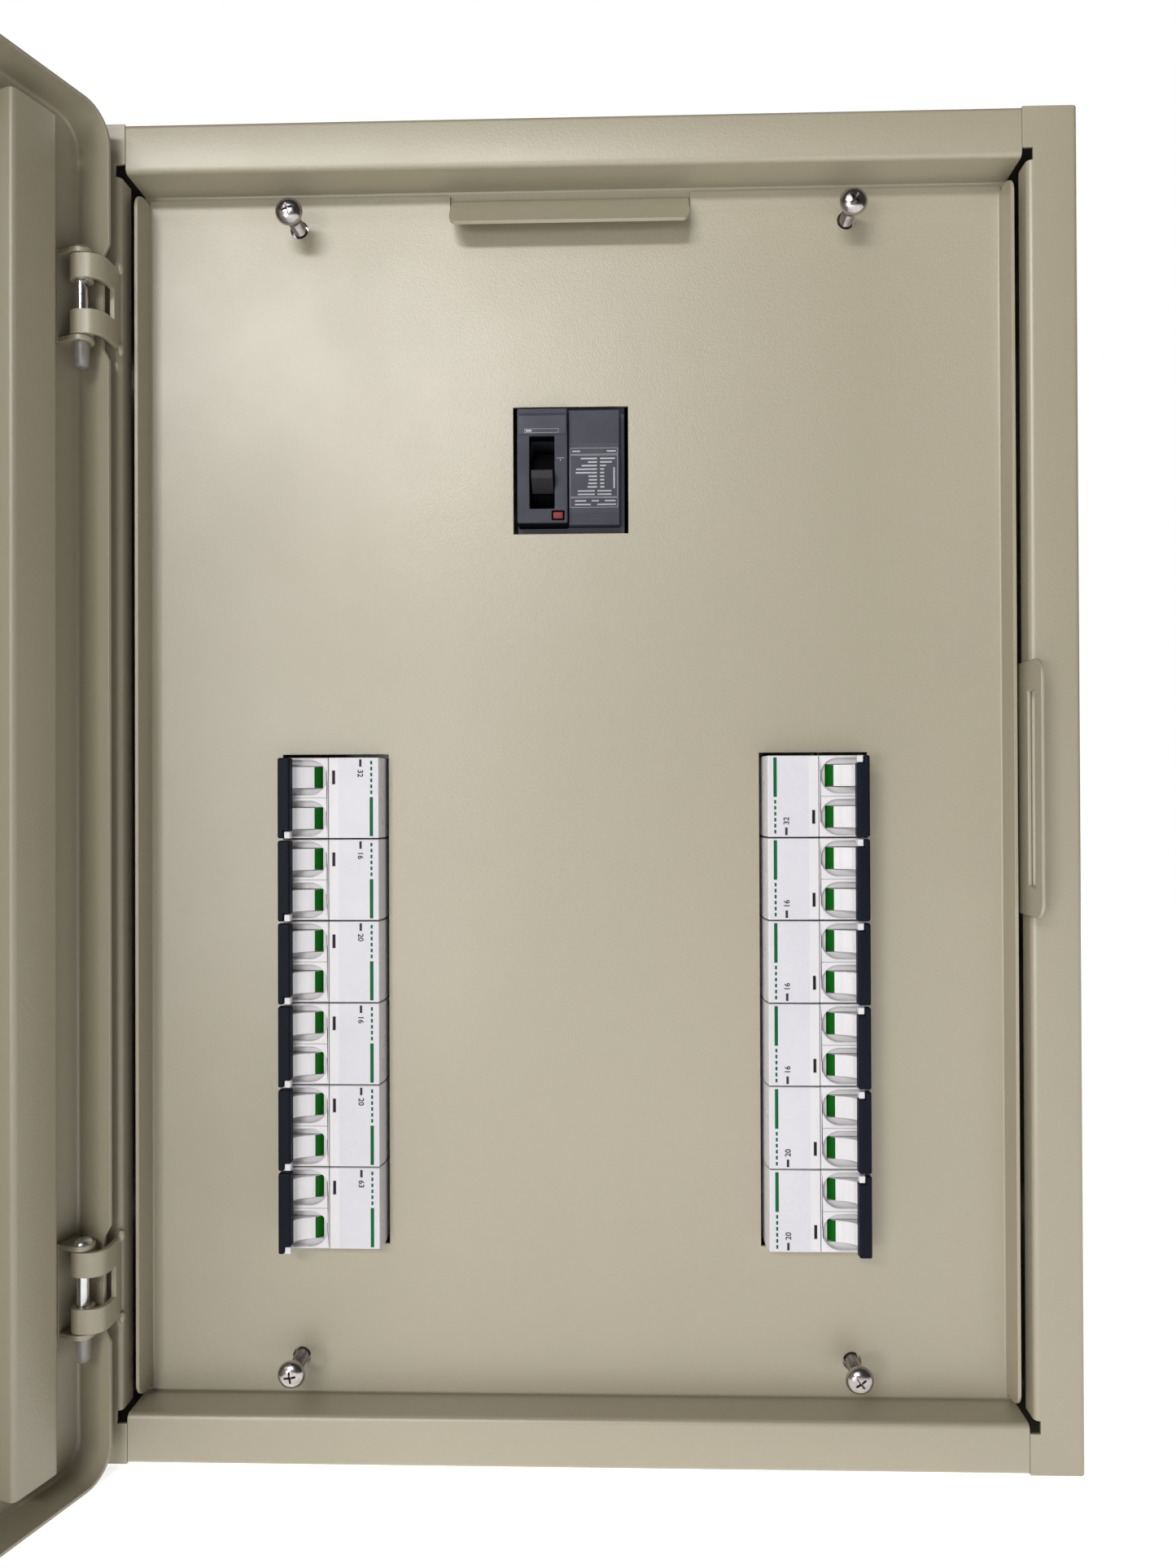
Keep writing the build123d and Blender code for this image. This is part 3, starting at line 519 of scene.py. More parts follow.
cap_profile = [
    (1.8, 0), (3.35, 0), (3.3, -1.2), (2.8, -9.7), (2.3, -10.4),
    (0, -10.4), (0, -9.3), (1.6, -9.2), (1.8, -8.8), (1.8, 0),
]
for z in HINGE_Z:
    for low in (z + EAR_LOW, z - EAR_END):
        ears.append(cut_plate("ear", [ear], low, low + EAR, 0.4, WIDTH_AND_DEPTH, powder_coat))
    behind_ears = at(0, 0, z) @ plane((1, 0, 0), (0, 0, 1))
    ears.append(cut_plate("ear_base", [base], -DOOR_SKIN_Y - 2, -DOOR_SKIN_Y, 0.4, behind_ears, powder_coat))
    pins.append(turned("pin", pin_profile, at(PIN.x, PIN.y, z), bright_steel))
    caps.append(turned("cap", cap_profile, at(PIN.x, PIN.y, z - EAR_END), frosted_cap))
for name, parts, node, slot_name in (
    ("hinge_ears", ears, "hinge_brackets", "painted_sheet"),
    ("pins", pins, "hinge_pins", "bright_steel"),
    ("pin_caps", caps, "hinge_pin_caps", "clear_cap"),
):
    piece = swung(fuse(name, parts))
    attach(piece, "door")
    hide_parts(node)

# ---------------------------------------------------------------- door
# A shallow pan: one sheet with its four edges folded up and its corners welded round. The hinge edge is cut
# back in front of each hinge. It is made shut and swung open.

DOOR_X = 214.5
DOOR_Z = 290
DOOR_EDGE_Y = -136.1
CORNER_R = 14
RELIEF = 3.2
RELIEF_Z = (25, 20)                      # the cut-back's ends and its full depth, from the hinge's middle


def walls(n):
    """Faces that join two rings of n corners."""
    return [(k, (k + 1) % n, n + (k + 1) % n, n + k) for k in range(n)]


skin_y = DOOR_SKIN_Y - mid
x, z, r = DOOR_X - mid, DOOR_Z - mid, CORNER_R - mid
rim = [
    *arc((x - r, z - r), r, 0, 90, 8), *arc((-x + r, z - r), r, 90, 180, 8),
    *((-x, h + d) for h in HINGE_Z for d in (*RELIEF_Z, -RELIEF_Z[1], -RELIEF_Z[0])),
    *arc((-x + r, -z + r), r, 180, 270, 8), *arc((x - r, -z + r), r, 270, 360, 8),
]
cut_back = {(-x, h + d) for h in HINGE_Z for d in (RELIEF_Z[1], -RELIEF_Z[1])}
points = [(u, skin_y, v) for u, v in rim]
points += [(u, DOOR_EDGE_Y - (RELIEF if (u, v) in cut_back else 0), v) for u, v in rim]
faces = [tuple(range(len(rim))), *walls(len(rim))]
door = swung(fold_sheet(cage("door_pan", points, faces, powder_coat), 2.2))
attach(door, "door")
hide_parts("door_panel")

# ---------------------------------------------------------------- door stiffeners
# Two hat-shaped channels of 1.2 mm steel, spot welded to the door's inside, one near the hinges and one beside
# the lock. They stop short of the door's top and bottom edges.

CHANNEL_LEFT = (-191, 112)
CHANNEL_W = 22.5
CHANNEL_H = 12.3
CHANNEL_SHEET = 1.2
CHANNEL_FOOT = 9
CHANNEL_Z = DOOR_Z - 13
thin = CHANNEL_SHEET / 2
foot, top = DOOR_SKIN_Y + thin, DOOR_SKIN_Y + CHANNEL_H - thin
channels = []
for left in CHANNEL_LEFT:
    right = left + CHANNEL_W
    hat = [
        (left - CHANNEL_FOOT, foot), (left + thin, foot), (left + thin, top),
        (right - thin, top), (right - thin, foot), (right + CHANNEL_FOOT, foot),
    ]
    channels.append(strip(hat, [-CHANNEL_Z, CHANNEL_Z], as_drawn))
stiffeners = swung(fold_sheet(cage("stiffeners", *join(*channels), powder_coat), 1.8, CHANNEL_SHEET, 0.25))
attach(stiffeners, "door")
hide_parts("door_stiffeners")

# ---------------------------------------------------------------- lock
# A quarter-turn lock: a chromed housing through the door, held by a nut, and a wing knob whose square end
# carries a zinc-plated cam inside the door.

chrome = grained(
    finish("chrome", (0.8, 0.8, 0.81), 0.1, metallic=1.0),
    Color=(0.82, 0.82, 0.83), Patch_Color=(0.74, 0.74, 0.76), Patch_Scale=70,
    Grain_Scale=400, Depth=0.02, Rough_Low=0.07, Rough_High=0.16,
)
LOCK_X = 163
DOOR_OUT = -154.8
CAM_Y = -136.5
OUTWARD = Matrix.Rotation(math.radians(90), 4, "X")
axis = at(LOCK_X, DOOR_OUT, 0) @ OUTWARD
housing_profile = [
    (6.05, 4), (13.2, 4), (14.4, 3.4), (15, 2.4), (15, 0), (9.9, 0), (9.9, -12), (6.05, -12), (6.05, 4),
]
housing = swung(turned("lock_body", housing_profile, axis, chrome, steps=48))
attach(housing, "door")
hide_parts("lock_housing")
dress(zinc, "lock_nut")

wing = [*arc((0, 15.5), 4.5, 0, 180, 8), *arc((0, -15.5), 4.5, 180, 360, 8)]
disc_profile = [(0, 8.4), (11, 8.4), (12, 7.6), (12, 4.4), (6, 4.4), (6, -18.3), (0, -18.3)]
knob = fuse("lock_wing", [
    turned("disc", disc_profile, axis, chrome, steps=48),
    cut_plate("wing", [wing], 8.2, 17.4, 1.4, axis, chrome),
])
cam_depth = DOOR_OUT - CAM_Y
cam_tip = [*arc((-4, -38), 4, 180, 270, 4), *arc((4, -38), 4, 270, 360, 4)]
arm = [*arc((0, 0), 10, 37, 143, 8), (-8, 0), *cam_tip, (8, 0)]
cam = cut_plate("lock_arm", [arm], cam_depth - 2, cam_depth, 0.3, axis, zinc)
for piece, node, slot_name in ((knob, "lock_knob", "chrome_lock"), (cam, "lock_cam", "zinc_steel")):
    swung(piece)
    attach(piece, "lock")
    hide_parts(node)
dress(zinc, "lock_screw")

# ---------------------------------------------------------------- front cover
# One sheet with both sides folded forward and cut-outs for the main switch and the breaker columns. A flap at
# its top is folded over forwards, so that fingers can pull the cover off.

COVER_Y = -111 + mid
COVER_X = 190.8 - mid
COVER_LOW, COVER_HIGH = -267.3, 266
FLANGE_OUT = -125.5
FLANGE_SHORT = 2.5
FLANGE_R = 7
SLITS = (-53.3, 52.3)
SLIT_W = 0.7
FLAP_ROOT = 259.5
FLAP_FOLD = 263.6
FLAP_OUT = 13.5
FLAP_SLOPE = 50
TIP_WIDE, TIP_LONG = 3, 5                # the rounding of the flap's two corners
MAIN_CUT_X, MAIN_CUT_Z = (-26.1, 25.1), (114.2, 170.8)
STACK_CUT_X, STACK_CUT_Z = (82.4, 130), (-201.8, 16.3)

xs = sorted({
    -COVER_X, COVER_X, *MAIN_CUT_X, SLITS[0] - SLIT_W, SLITS[0], SLITS[1], SLITS[1] + SLIT_W,
    *(s * v for s in (-1, 1) for v in (*STACK_CUT_X, SCREW_X - CELL_X, SCREW_X + CELL_X)),
})
zs = sorted({
    COVER_LOW, COVER_LOW + FLANGE_SHORT, COVER_HIGH - FLANGE_SHORT, COVER_HIGH, *MAIN_CUT_Z, *STACK_CUT_Z,
    FLAP_ROOT, *(s * (SCREW_Z + d) for s in (-1, 1) for d in (-CELL_Z, CELL_Z)),
})


def in_cut(left, right, low, high):
    """Whether a cell of the cover belongs to a cut-out, a screw hole or the notch round the flap."""
    x, z = (left + right) / 2, (low + high) / 2
    main = MAIN_CUT_X[0] < x < MAIN_CUT_X[1] and MAIN_CUT_Z[0] < z < MAIN_CUT_Z[1]
    stack = STACK_CUT_X[0] < abs(x) < STACK_CUT_X[1] and STACK_CUT_Z[0] < z < STACK_CUT_Z[1]
    screw = abs(abs(x) - SCREW_X) < CELL_X and abs(abs(z) - SCREW_Z) < CELL_Z
    notch = SLITS[0] - SLIT_W < x < SLITS[1] + SLIT_W and z > FLAP_ROOT
    return main or stack or screw or notch


def polygon_of(points):
    """One face through the given corners, as strip gives its many."""
    return points, [tuple(range(len(points)))]


face = strip(
    [(x, 0) for x in xs], zs, lambda u, v, w: (u, COVER_Y, w),
    lambda column, row: not in_cut(xs[column], xs[column + 1], zs[row], zs[row + 1]),
)
holes = [
    holed_cell(
        x - CELL_X, x + CELL_X, z - CELL_Z, z + CELL_Z, (x, z), HOLE_R, lambda u, v: (u, COVER_Y, v),
    )
    for x in (-SCREW_X, SCREW_X) for z in (-SCREW_Z, SCREW_Z)
]
low, high = COVER_LOW + FLANGE_SHORT, COVER_HIGH - FLANGE_SHORT
out = FLANGE_OUT + FLANGE_R
flange = [
    *((COVER_Y, z) for z in zs if low <= z <= high),
    *arc((out, high - FLANGE_R), FLANGE_R, 90, 180, 6), *arc((out, low + FLANGE_R), FLANGE_R, 180, 270, 6),
]
flanges = [polygon_of([(x, y, z) for y, z in flange]) for x in (-COVER_X, COVER_X)]


def on_flap(x, y):
    """A point on the flap's slope."""
    return (x, y, FLAP_FOLD - (COVER_Y - y) * math.tan(math.radians(FLAP_SLOPE)))


straight_y = COVER_Y - FLAP_OUT + TIP_LONG       # the flap's sides are straight as far as this
across_flap = [x for x in xs if SLITS[0] <= x <= SLITS[1]]
flap = strip(
    [(COVER_Y, FLAP_ROOT), (COVER_Y, FLAP_FOLD), on_flap(0, straight_y)[1:]], across_flap,
    lambda u, v, w: (w, u, v),
)
tip_turns = [math.radians(turn) for turn in (20, 45, 70, 90)]
right_tip = [(SLITS[1] - TIP_WIDE * (1 - math.cos(t)), straight_y - TIP_LONG * math.sin(t)) for t in tip_turns]
left_tip = [
    (SLITS[0] + TIP_WIDE * (1 - math.cos(t)), straight_y - TIP_LONG * math.sin(t)) for t in reversed(tip_turns)
]
tip = [*((x, straight_y) for x in across_flap), *right_tip, *left_tip]
flap_tip = polygon_of([on_flap(x, y) for x, y in tip])
cover = fold_sheet(cage("cover", *join(face, *holes, *flanges, flap, flap_tip), powder_coat), 1.6)
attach(cover, "cover")
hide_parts("front_cover")

# ---------------------------------------------------------------- cover screws
# Four nickel-plated pan-head screws with a cross recess, captive in the cover and shown half undone, so that
# their heads stand off it. Each one has come to rest at its own angle.

nickel = grained(
    finish("nickel", (0.62, 0.59, 0.6), 0.12, metallic=1.0),
    Color=(0.56, 0.52, 0.51), Patch_Color=(0.38, 0.35, 0.35), Patch_Scale=220,
    Grain_Scale=900, Depth=0.04, Rough_Low=0.14, Rough_High=0.27,
)
HEAD_Y = -126.6
SHANK_END = -96.4
TURNS = {(-1, 1): 20, (1, 1): 52, (-1, -1): 8, (1, -1): 35}

SHANK_R = 3
shank_low = HEAD_Y - SHANK_END
screw_profile = [
    (0, 4), (1.6, 3.95), (3.2, 3.6), (4.6, 2.9), (5.5, 1.9), (5.95, 0.9), (5.9, 0.2), (5.6, 0), (SHANK_R, 0),
]
pitch, depth = 1.0, 0.32
crest = -6.5
while crest > shank_low + pitch:
    screw_profile += [(SHANK_R, crest), (SHANK_R - depth, crest - pitch / 2)]
    crest -= pitch
screw_profile += [(SHANK_R, crest), (2.3, shank_low), (0, shank_low)]


def block_faces(n):
    """Faces of a block between two outlines of n corners."""
    return [tuple(range(n)), tuple(range(2 * n - 1, n - 1, -1)), *walls(n)]


def cross_recess():
    """A cross-shaped punch, its wings tapering to a point, to cut the driver's recess."""
    wide, reach, deep = 0.55, 3.1, 2.6
    top, taper = 4.4, 0.35
    outline = []
    for turn in range(4):
        spin = Matrix.Rotation(math.radians(90 * turn), 2)
        outline += [spin @ Vector(p) for p in ((reach, -wide), (reach, wide), (wide, wide))]
    points = [(p.x, p.y, top) for p in outline]
    points += [(p.x * taper, p.y * taper, top - deep) for p in outline]
    return cage("punch", points, block_faces(len(outline)), nickel)


blank = turned("screw", screw_profile, Matrix(), nickel, steps=40)
punch = cross_recess()
cut = blank.modifiers.new("cross recess", "BOOLEAN")
cut.object = punch
cut.solver = "EXACT"
screw_mesh = applied(blank)
bpy.data.objects.remove(punch)
screws = []
for (sx, sz), angle in TURNS.items():
    mesh = screw_mesh.copy()
    place = at(sx * SCREW_X, HEAD_Y, sz * SCREW_Z) @ OUTWARD @ Matrix.Rotation(math.radians(angle), 4, "Z")
    mesh.transform(place)
    screws.append(stood("screw", mesh))
cover_screws = fuse("captive_screws", screws)
cover_screws.data.shade_smooth()
cover_screws.data.set_sharp_from_angle(angle=TURNED_EDGE)
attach(cover_screws, "cover")
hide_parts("cover_screws")

# ---------------------------------------------------------------- mounting pan, rails and copper
# Inside, behind the cover: a zinc-plated pan on four stand-offs carries two top-hat rails, the copper busbars
# with their fingers and moulded supports, and a brass earth bar.

copper = grained(
    finish("copper", (0.85, 0.5, 0.36), 0.3, metallic=1.0),
    Color=(0.86, 0.5, 0.36), Patch_Color=(0.62, 0.33, 0.24), Patch_Scale=40,
    Grain_Scale=1500, Depth=0.05, Rough_Low=0.22, Rough_High=0.45,
)
brass = grained(
    finish("brass", (0.82, 0.66, 0.35), 0.3, metallic=1.0),
    Color=(0.84, 0.67, 0.36), Patch_Color=(0.66, 0.5, 0.26), Patch_Scale=50,
    Grain_Scale=1500, Depth=0.04, Rough_Low=0.2, Rough_High=0.4,
)
insulator = grained(
    finish("red_insulator", (0.4, 0.06, 0.04), 0.45),
    Color=(0.42, 0.06, 0.045), Patch_Color=(0.33, 0.05, 0.04), Patch_Scale=60,
    Grain_Scale=1600, Depth=0.1, Rough_Low=0.4, Rough_High=0.55,
)
dress(zinc, "mounting_pan", "pan_standoffs", "pan_screws", "din_rails", "earth_bar_screws")
dress(copper, "busbars")
dress(brass, "earth_bar")
dress(insulator, "busbar_supports")

# ---------------------------------------------------------------- main switch
# A two-pole moulded-case switch in slate plastic: a base and a cover with shoulders, a raised module with the
# toggle's slot and the trip button, and beside it a module with a rating plate. The parts clip together.


def moulded(name, color, patch, rough, shine=0.25):
    """Moulded plastic with a fine spark-eroded texture."""
    return grained(
        finish(name, color, rough, Specular_IOR_Level=shine),
        Color=color, Patch_Color=patch, Patch_Scale=45,
        Grain_Scale=2600, Depth=0.12, Rough_Low=rough - 0.06, Rough_High=rough + 0.06,
    )


slate = moulded("slate_plastic", (0.038, 0.04, 0.057), (0.033, 0.035, 0.051), 0.42)
# A lighter copy of the slate for the shoulder: painted light, standing in for light that the shoulder, deep
# beside the cover's cut-out, does not get.
shoulder_slate_painted_lit = moulded("shoulder_slate_painted_lit", (0.075, 0.08, 0.103), (0.068, 0.073, 0.094), 0.42)
plaque = moulded("slate_plaque", (0.041, 0.043, 0.062), (0.036, 0.038, 0.056), 0.34)
# Near-black plastic with almost no reflection: the real black parts, and also painted shade where it stands for
# the slot's shade on the main toggle's drum and for the breakers' clamp wells.
black_and_shade = moulded("black_plastic", (0.002, 0.002, 0.0025), (0.003, 0.003, 0.004), 0.7, 0.04)
handle_grey = moulded("handle_plastic", (0.024, 0.021, 0.027), (0.018, 0.016, 0.02), 0.4)
red = moulded("red_plastic", (0.2, 0.016, 0.018), (0.15, 0.013, 0.014), 0.3)
light_print = moulded("light_print", (0.46, 0.46, 0.5), (0.38, 0.38, 0.42), 0.4)

FACING = plane((1, 0, 0), (0, 0, 1))     # for plates that face the user: heights are distances from the wall
NOSE_LOW, NOSE_HIGH = 117.55, 169.0
TOGGLE_SIDE = (-24.1, -1.8)
LABEL_SIDE = (-1.5, 21.3)
TOGGLE_FACE, LABEL_FACE = 115, 112
SHOULDER = 106
SKIRT_LOW, SKIRT_HIGH = 110, 112.8
AXIS = Vector((-13.1, -97, 140.8))
SLOT_HALF_W, SLOT_HALF_H = 5.5, 16.1
BUTTON = (-6, 121.6)


def oblong(left, right, low, high, radius=0.0):
    """A rectangle's outline, its corners rounded when a radius is given."""
    if not radius:
        return [(left, low), (right, low), (right, high), (left, high)]
    r = radius
    return [
        *arc((right - r, low + r), r, 270, 360, 4), *arc((right - r, high - r), r, 0, 90, 4),
        *arc((left + r, high - r), r, 90, 180, 4), *arc((left + r, low + r), r, 180, 270, 4),
    ]


def printed(name, marks, y, material):
    """Flat printed marks, each (left, right, low, high), just proud of a face that looks at the user."""
    points, faces = [], []
    for n, (left, right, low, high) in enumerate(marks):
        points += [(left, y, low), (right, y, low), (right, y, high), (left, y, high)]
        faces.append((4 * n, 4 * n + 1, 4 * n + 2, 4 * n + 3))
    piece = cage(name, points, faces, material)
    for face in piece.data.polygons:
        if face.normal.y > 0:
            face.flip()
    return piece


def outlined(left, right, low, high, line=0.14):
    """The four printed lines of a frame."""
    return [
        (left, right, low, low + line), (left, right, high - line, high),
        (left, left + line, low, high), (right - line, right, low, high),
    ]


def about(centre, half_wide, half_high, radius):
    """A rounded rectangle's outline round a centre."""
    x, z = centre
    return oblong(x - half_wide, x + half_wide, z - half_high, z + half_high, radius)


slot = about((AXIS.x, AXIS.z), SLOT_HALF_W, SLOT_HALF_H, 0.6)
button_hole = about(BUTTON, 2.6, 1.9, 0.3)
left, right = TOGGLE_SIDE
label_rim = oblong(*LABEL_SIDE, NOSE_LOW + 0.2, NOSE_HIGH + 0.2, 0.7)
plates = (
    # name, outlines, low, high, edge, finish
    # the shoulder takes the lighter copy of the slate, painted light
    ("shoulder", [oblong(-24.7, 23.6, 77.5, 207.5, 1.5), slot], 68, SHOULDER, 0.6, shoulder_slate_painted_lit),
    ("toggle_wall", [oblong(left, right, NOSE_LOW, NOSE_HIGH, 0.8), slot], SHOULDER, 113, 0.1, black_and_shade),
    ("toggle_front", [oblong(left, right, NOSE_LOW + 0.8, NOSE_HIGH, 0.8), slot, button_hole],
     SKIRT_HIGH, TOGGLE_FACE - 0.35, 0.35, slate),
    ("toggle_skirt", [oblong(left, right, NOSE_LOW, NOSE_HIGH - 0.6, 0.8), slot],
     SKIRT_LOW, SKIRT_HIGH, 0.5, slate),
    ("brow", [oblong(left + 0.3, right - 0.4, 157.4, 166.1, 0.4)], 114, TOGGLE_FACE, 0.25, plaque),
    ("cap_strip", [oblong(left + 0.2, right - 0.2, 166.5, NOSE_HIGH, 0.6)], 114, TOGGLE_FACE, 0.3, slate),
    ("label_block", [label_rim], SHOULDER, LABEL_FACE, 0.45, slate),
    ("rating_plate", [oblong(LABEL_SIDE[0] + 0.3, LABEL_SIDE[1] - 0.3, 123, 154.6, 0.4)],
     LABEL_FACE - 0.2, LABEL_FACE + 0.12, 0.05, plaque),
    ("button_frame", [about(BUTTON, 2.9, 2.2, 0.4), button_hole], 114, TOGGLE_FACE - 0.15, 0.15, black_and_shade),
)
parts = [
    cut_plate(name, outlines, low, high, edge, FACING, material)
    for name, outlines, low, high, edge, material in plates
]
# The rating plate's print: three frames, and lines with no words in them
marks = []
for low, high in ((149.2, 152.0), (130.2, 148.9), (125.6, 129.9)):
    marks += outlined(-0.8, 20.4, low, high)
name_lengths = (7.2, 4.0, 6.8, 9.2, 9.4, 3.8, 3.6, 3.9, 4.2)
value_lengths = (6.6, 5.2, 2.6, 1.8, 1.8, 1.8, 1.8, 1.8, 1.9)
for row, (name_long, value_long) in enumerate(zip(name_lengths, value_lengths)):
    line = 147.0 - 1.58 * row
    marks.append((11.2 - name_long, 11.2, line, line + 0.65))
    marks.append((12.6, 12.6 + value_long, line, line + 0.65))
for line, ends in (
    (150.3, ((0.2, 3.8), (15.6, 19.6))),
    (132.6, ((2.6, 10.2), (11.4, 17.6))),
    (131.1, ((2.6, 10.2), (11.4, 17.6))),
    (128.2, ((1.4, 6.4), (8.8, 12.0), (14.6, 19.4))),
    (126.6, ((1.4, 8.4), (11.2, 19.6))),
):
    marks += [(start, end, line, line + 0.6) for start, end in ends]
marks.append((18.5, 19.1, 134.0, 143.4))
parts.append(printed("ratings", marks, -LABEL_FACE - 0.16, light_print))
brow_marks = outlined(-20.8, -5.6, 158.2, 160.0, 0.12) + [(-20.2, -17.6, 158.7, 159.5)]
parts.append(printed("brow_ratings", brow_marks, -TOGGLE_FACE - 0.04, light_print))
throw_marks = [(-6.6, -3.2, 146.9, 147.1), (-5.1, -4.7, 145.9, 146.5)]
parts.append(printed("throw_mark", throw_marks, 0.31 - TOGGLE_FACE, light_print))
switch = fuse("main_switch_front", parts)
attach(switch, "root")
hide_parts("main_switch_cover")
dress(black_and_shade, "main_switch_base")


def prism(name, outline, low, high, place, *finishes):
    """A straight block with the given outline, from one height to another."""
    points = [place(u, v, height) for height in (low, high) for u, v in outline]
    return cage(name, points, block_faces(len(outline)), *finishes)


# The toggle: a half drum that closes the slot, and a wedge-nosed handle, tilted down when off
tilt = Matrix.Rotation(math.radians(-14), 2)
handle = [(14.1, -5.1), (17.6, -5.1), (24, 1.6), (24, 5.1), (14.1, 5.1)]
toggle_outline = [*arc((0, 0), 14.9, -90, -21, 9), *handle, *arc((0, 0), 12.4, 25, 90, 9)]
HANDLE_Y = -111.6                        # what stands further out than this is the grey handle; what lies deeper is painted shade


def on_axis(a, b, x):
    """Across the switch: a towards the user and b upwards from the toggle's axis, tilted with it."""
    p = tilt @ Vector((a, b))
    return (x, AXIS.y - p.x, AXIS.z + p.y)


toggle = prism("main_toggle", toggle_outline, AXIS.x - 4.4, AXIS.x + 5.2, on_axis, black_and_shade, handle_grey)
# The toggle's faces deeper than HANDLE_Y, and its sides, keep the near-black plastic: painted shade for the
# drum inside the slot. The faces further out take the grey handle plastic.
for polygon in toggle.data.polygons:
    if polygon.center.y < HANDLE_Y * MM and abs(polygon.normal.x) < 0.5:
        polygon.material_index = 1
soften(toggle, 0.45, angle=30)
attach(toggle, "main_toggle")
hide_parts("main_switch_toggle")

button = cut_plate("trip_knob", [about(BUTTON, 2.2, 1.5, 0.4)], 109.5, 115.2, 0.35, FACING, red)
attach(button, "trip")
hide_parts("trip_button")

# ---------------------------------------------------------------- breakers
# Twelve two-pole modular breakers in white moulded plastic, six on each rail. Each case has a scooped pocket
# for each pole's toggle, a label end with a state window, and shoulders that the cover hides.

white = moulded("white_plastic", (0.7, 0.685, 0.71), (0.67, 0.655, 0.685), 0.3)
# A greyer copy of the white for the pockets' floors: painted shade of the scooped recesses.
pocket_white_painted_shade = moulded("pocket_white_painted_shade", (0.56, 0.545, 0.56), (0.53, 0.515, 0.53), 0.4)
label_white = moulded("label_white", (0.64, 0.63, 0.68), (0.615, 0.605, 0.655), 0.26)
bar_green = moulded("printed_green", (0.002, 0.12, 0.034), (0.002, 0.105, 0.03), 0.45, 0.1)
strip_green = moulded("toggle_green", (0.001, 0.1, 0.004), (0.001, 0.085, 0.004), 0.4, 0.12)
grey_print = moulded("grey_print", (0.03, 0.028, 0.034), (0.045, 0.042, 0.05), 0.5, 0.1)
window_dark = moulded("window_dark", (0.022, 0.015, 0.02), (0.014, 0.01, 0.013), 0.4, 0.1)
seam_grey = moulded("seam_grey", (0.3, 0.29, 0.3), (0.24, 0.23, 0.24), 0.5)
navy = moulded("navy_plastic", (0.0035, 0.0055, 0.012), (0.005, 0.0075, 0.015), 0.45, 0.1)

STACK_X = 105.8
STACK_TOP = 15
PITCH = 36
HALF = 17.65
POLE = 9
FACE = 120                               # distance of the breakers' faces from the wall
FLOOR = FACE - 6                         # and of the step that the pocket's floor rests on
NOSE_L, NOSE_R = -22.4, -1.4             # ends of the pockets' half of the nose
FILM = 0.03                              # how far a label stands off; print stands off twice that
POCKET_U, POCKET_R = -9.9, 7.7
DRUM_U, DRUM_Y, DRUM_R, DRUM_W = -12, -111, 8.6, 9.4
RATINGS = {"left": (32, 16, 20, 16, 20, 63), "right": (32, 16, 16, 16, 20, 20)}

bezel = [(NOSE_R - 0.15, -HALF), (NOSE_R - 0.15, HALF), (NOSE_L, HALF)]
for pole in (POLE, -POLE):
    pocket = arc((POCKET_U, pole), POCKET_R, 90, -90, 16)
    bezel += [(NOSE_L, pole + POCKET_R), *pocket, (NOSE_L, pole - POCKET_R)]
bezel.append((NOSE_L, -HALF))
nose = oblong(NOSE_L, NOSE_R, -HALF, HALF)
hollow = oblong(NOSE_L + 1, NOSE_R - 1, -HALF + 1, HALF - 1)
wells = [oblong(-20.9, -4.4, pole - 4.95, pole + 4.95) for pole in (POLE, -POLE)]
label_end = oblong(-1.25, 20.7, -HALF, HALF)
window = oblong(0.2, 1.5, POLE - 3, POLE + 3)
label_block = [(-1.25, -119.2), (20.75, -119.2), (21.8, -113.6), (21.8, -93), (-1.25, -93)]
body = [
    (-42.5, -46.5), (-42.5, -89), (-40.5, -94), (40.5, -94), (42.5, -89), (42.5, -46.5),
    (17.8, -46.5), (17.8, -50), (-17.8, -50), (-17.8, -46.5),
]
dashes = [(17.1, 18.0, 1.6 + 2.6 * n, 3.2 + 2.6 * n) for n in range(6)]
case_parts = [
    cut_plate("bezel", [bezel], FACE - 4, FACE, 0.5, FACING, white),
    # the pockets' floors take the greyer white, painted shade
    cut_plate("pocket_floor", [nose, *wells], FLOOR, FACE - 2.4, 0.15, FACING, pocket_white_painted_shade),
    cut_plate("toggle_walls", [nose, hollow], 93, FLOOR, 0.1, FACING, white),
    cut_plate("label_front", [label_end, window], FACE - 1, FACE, 0.3, FACING, white),
    soften(prism("label_block", label_block, -HALF, HALF, as_drawn, white), 0.35),
    soften(prism("body", body, -HALF, HALF, as_drawn, white), 0.5),
    printed("window", [(0.1, 1.6, POLE - 3.1, POLE + 3.1)], -119.3, window_dark),
    printed("label", [(3.0, 20.2, -17.3, 17.3)], -FACE - FILM, label_white),
    printed("bar", [(16.8, 18.3, -16.9, 0.3), *dashes], -FACE - 2 * FILM, bar_green),
    printed("split", [(-21.4, -2.2, -0.13, 0.13)], -FACE - FILM, seam_grey),
    printed("type_marks", [(12.2, 13.3, 13.6, 16.9)], -FACE - 2 * FILM, grey_print),
]
# Each clamp's well is drawn as a flat black disc round its screw: painted shade standing in for the hole.
well_shade_profile = [(0, 0.06), (3.2, 0.06), (3.2, -0.2)]
clamp_profile = [(0, 0.25), (2.2, 0.25), (2.6, 0.1), (2.6, 0)]
for end in (-1, 1):
    for pole in (-POLE, POLE):
        clamp = at(end * 35, -94, pole) @ OUTWARD
        case_parts.append(turned("clamp_well_shade", well_shade_profile, clamp, black_and_shade, steps=20))
        case_parts.append(turned("clamp_screw", clamp_profile, clamp, zinc, steps=20))
case = fuse("breaker_case", case_parts)
case_mesh = case.data
bpy.data.objects.remove(case)


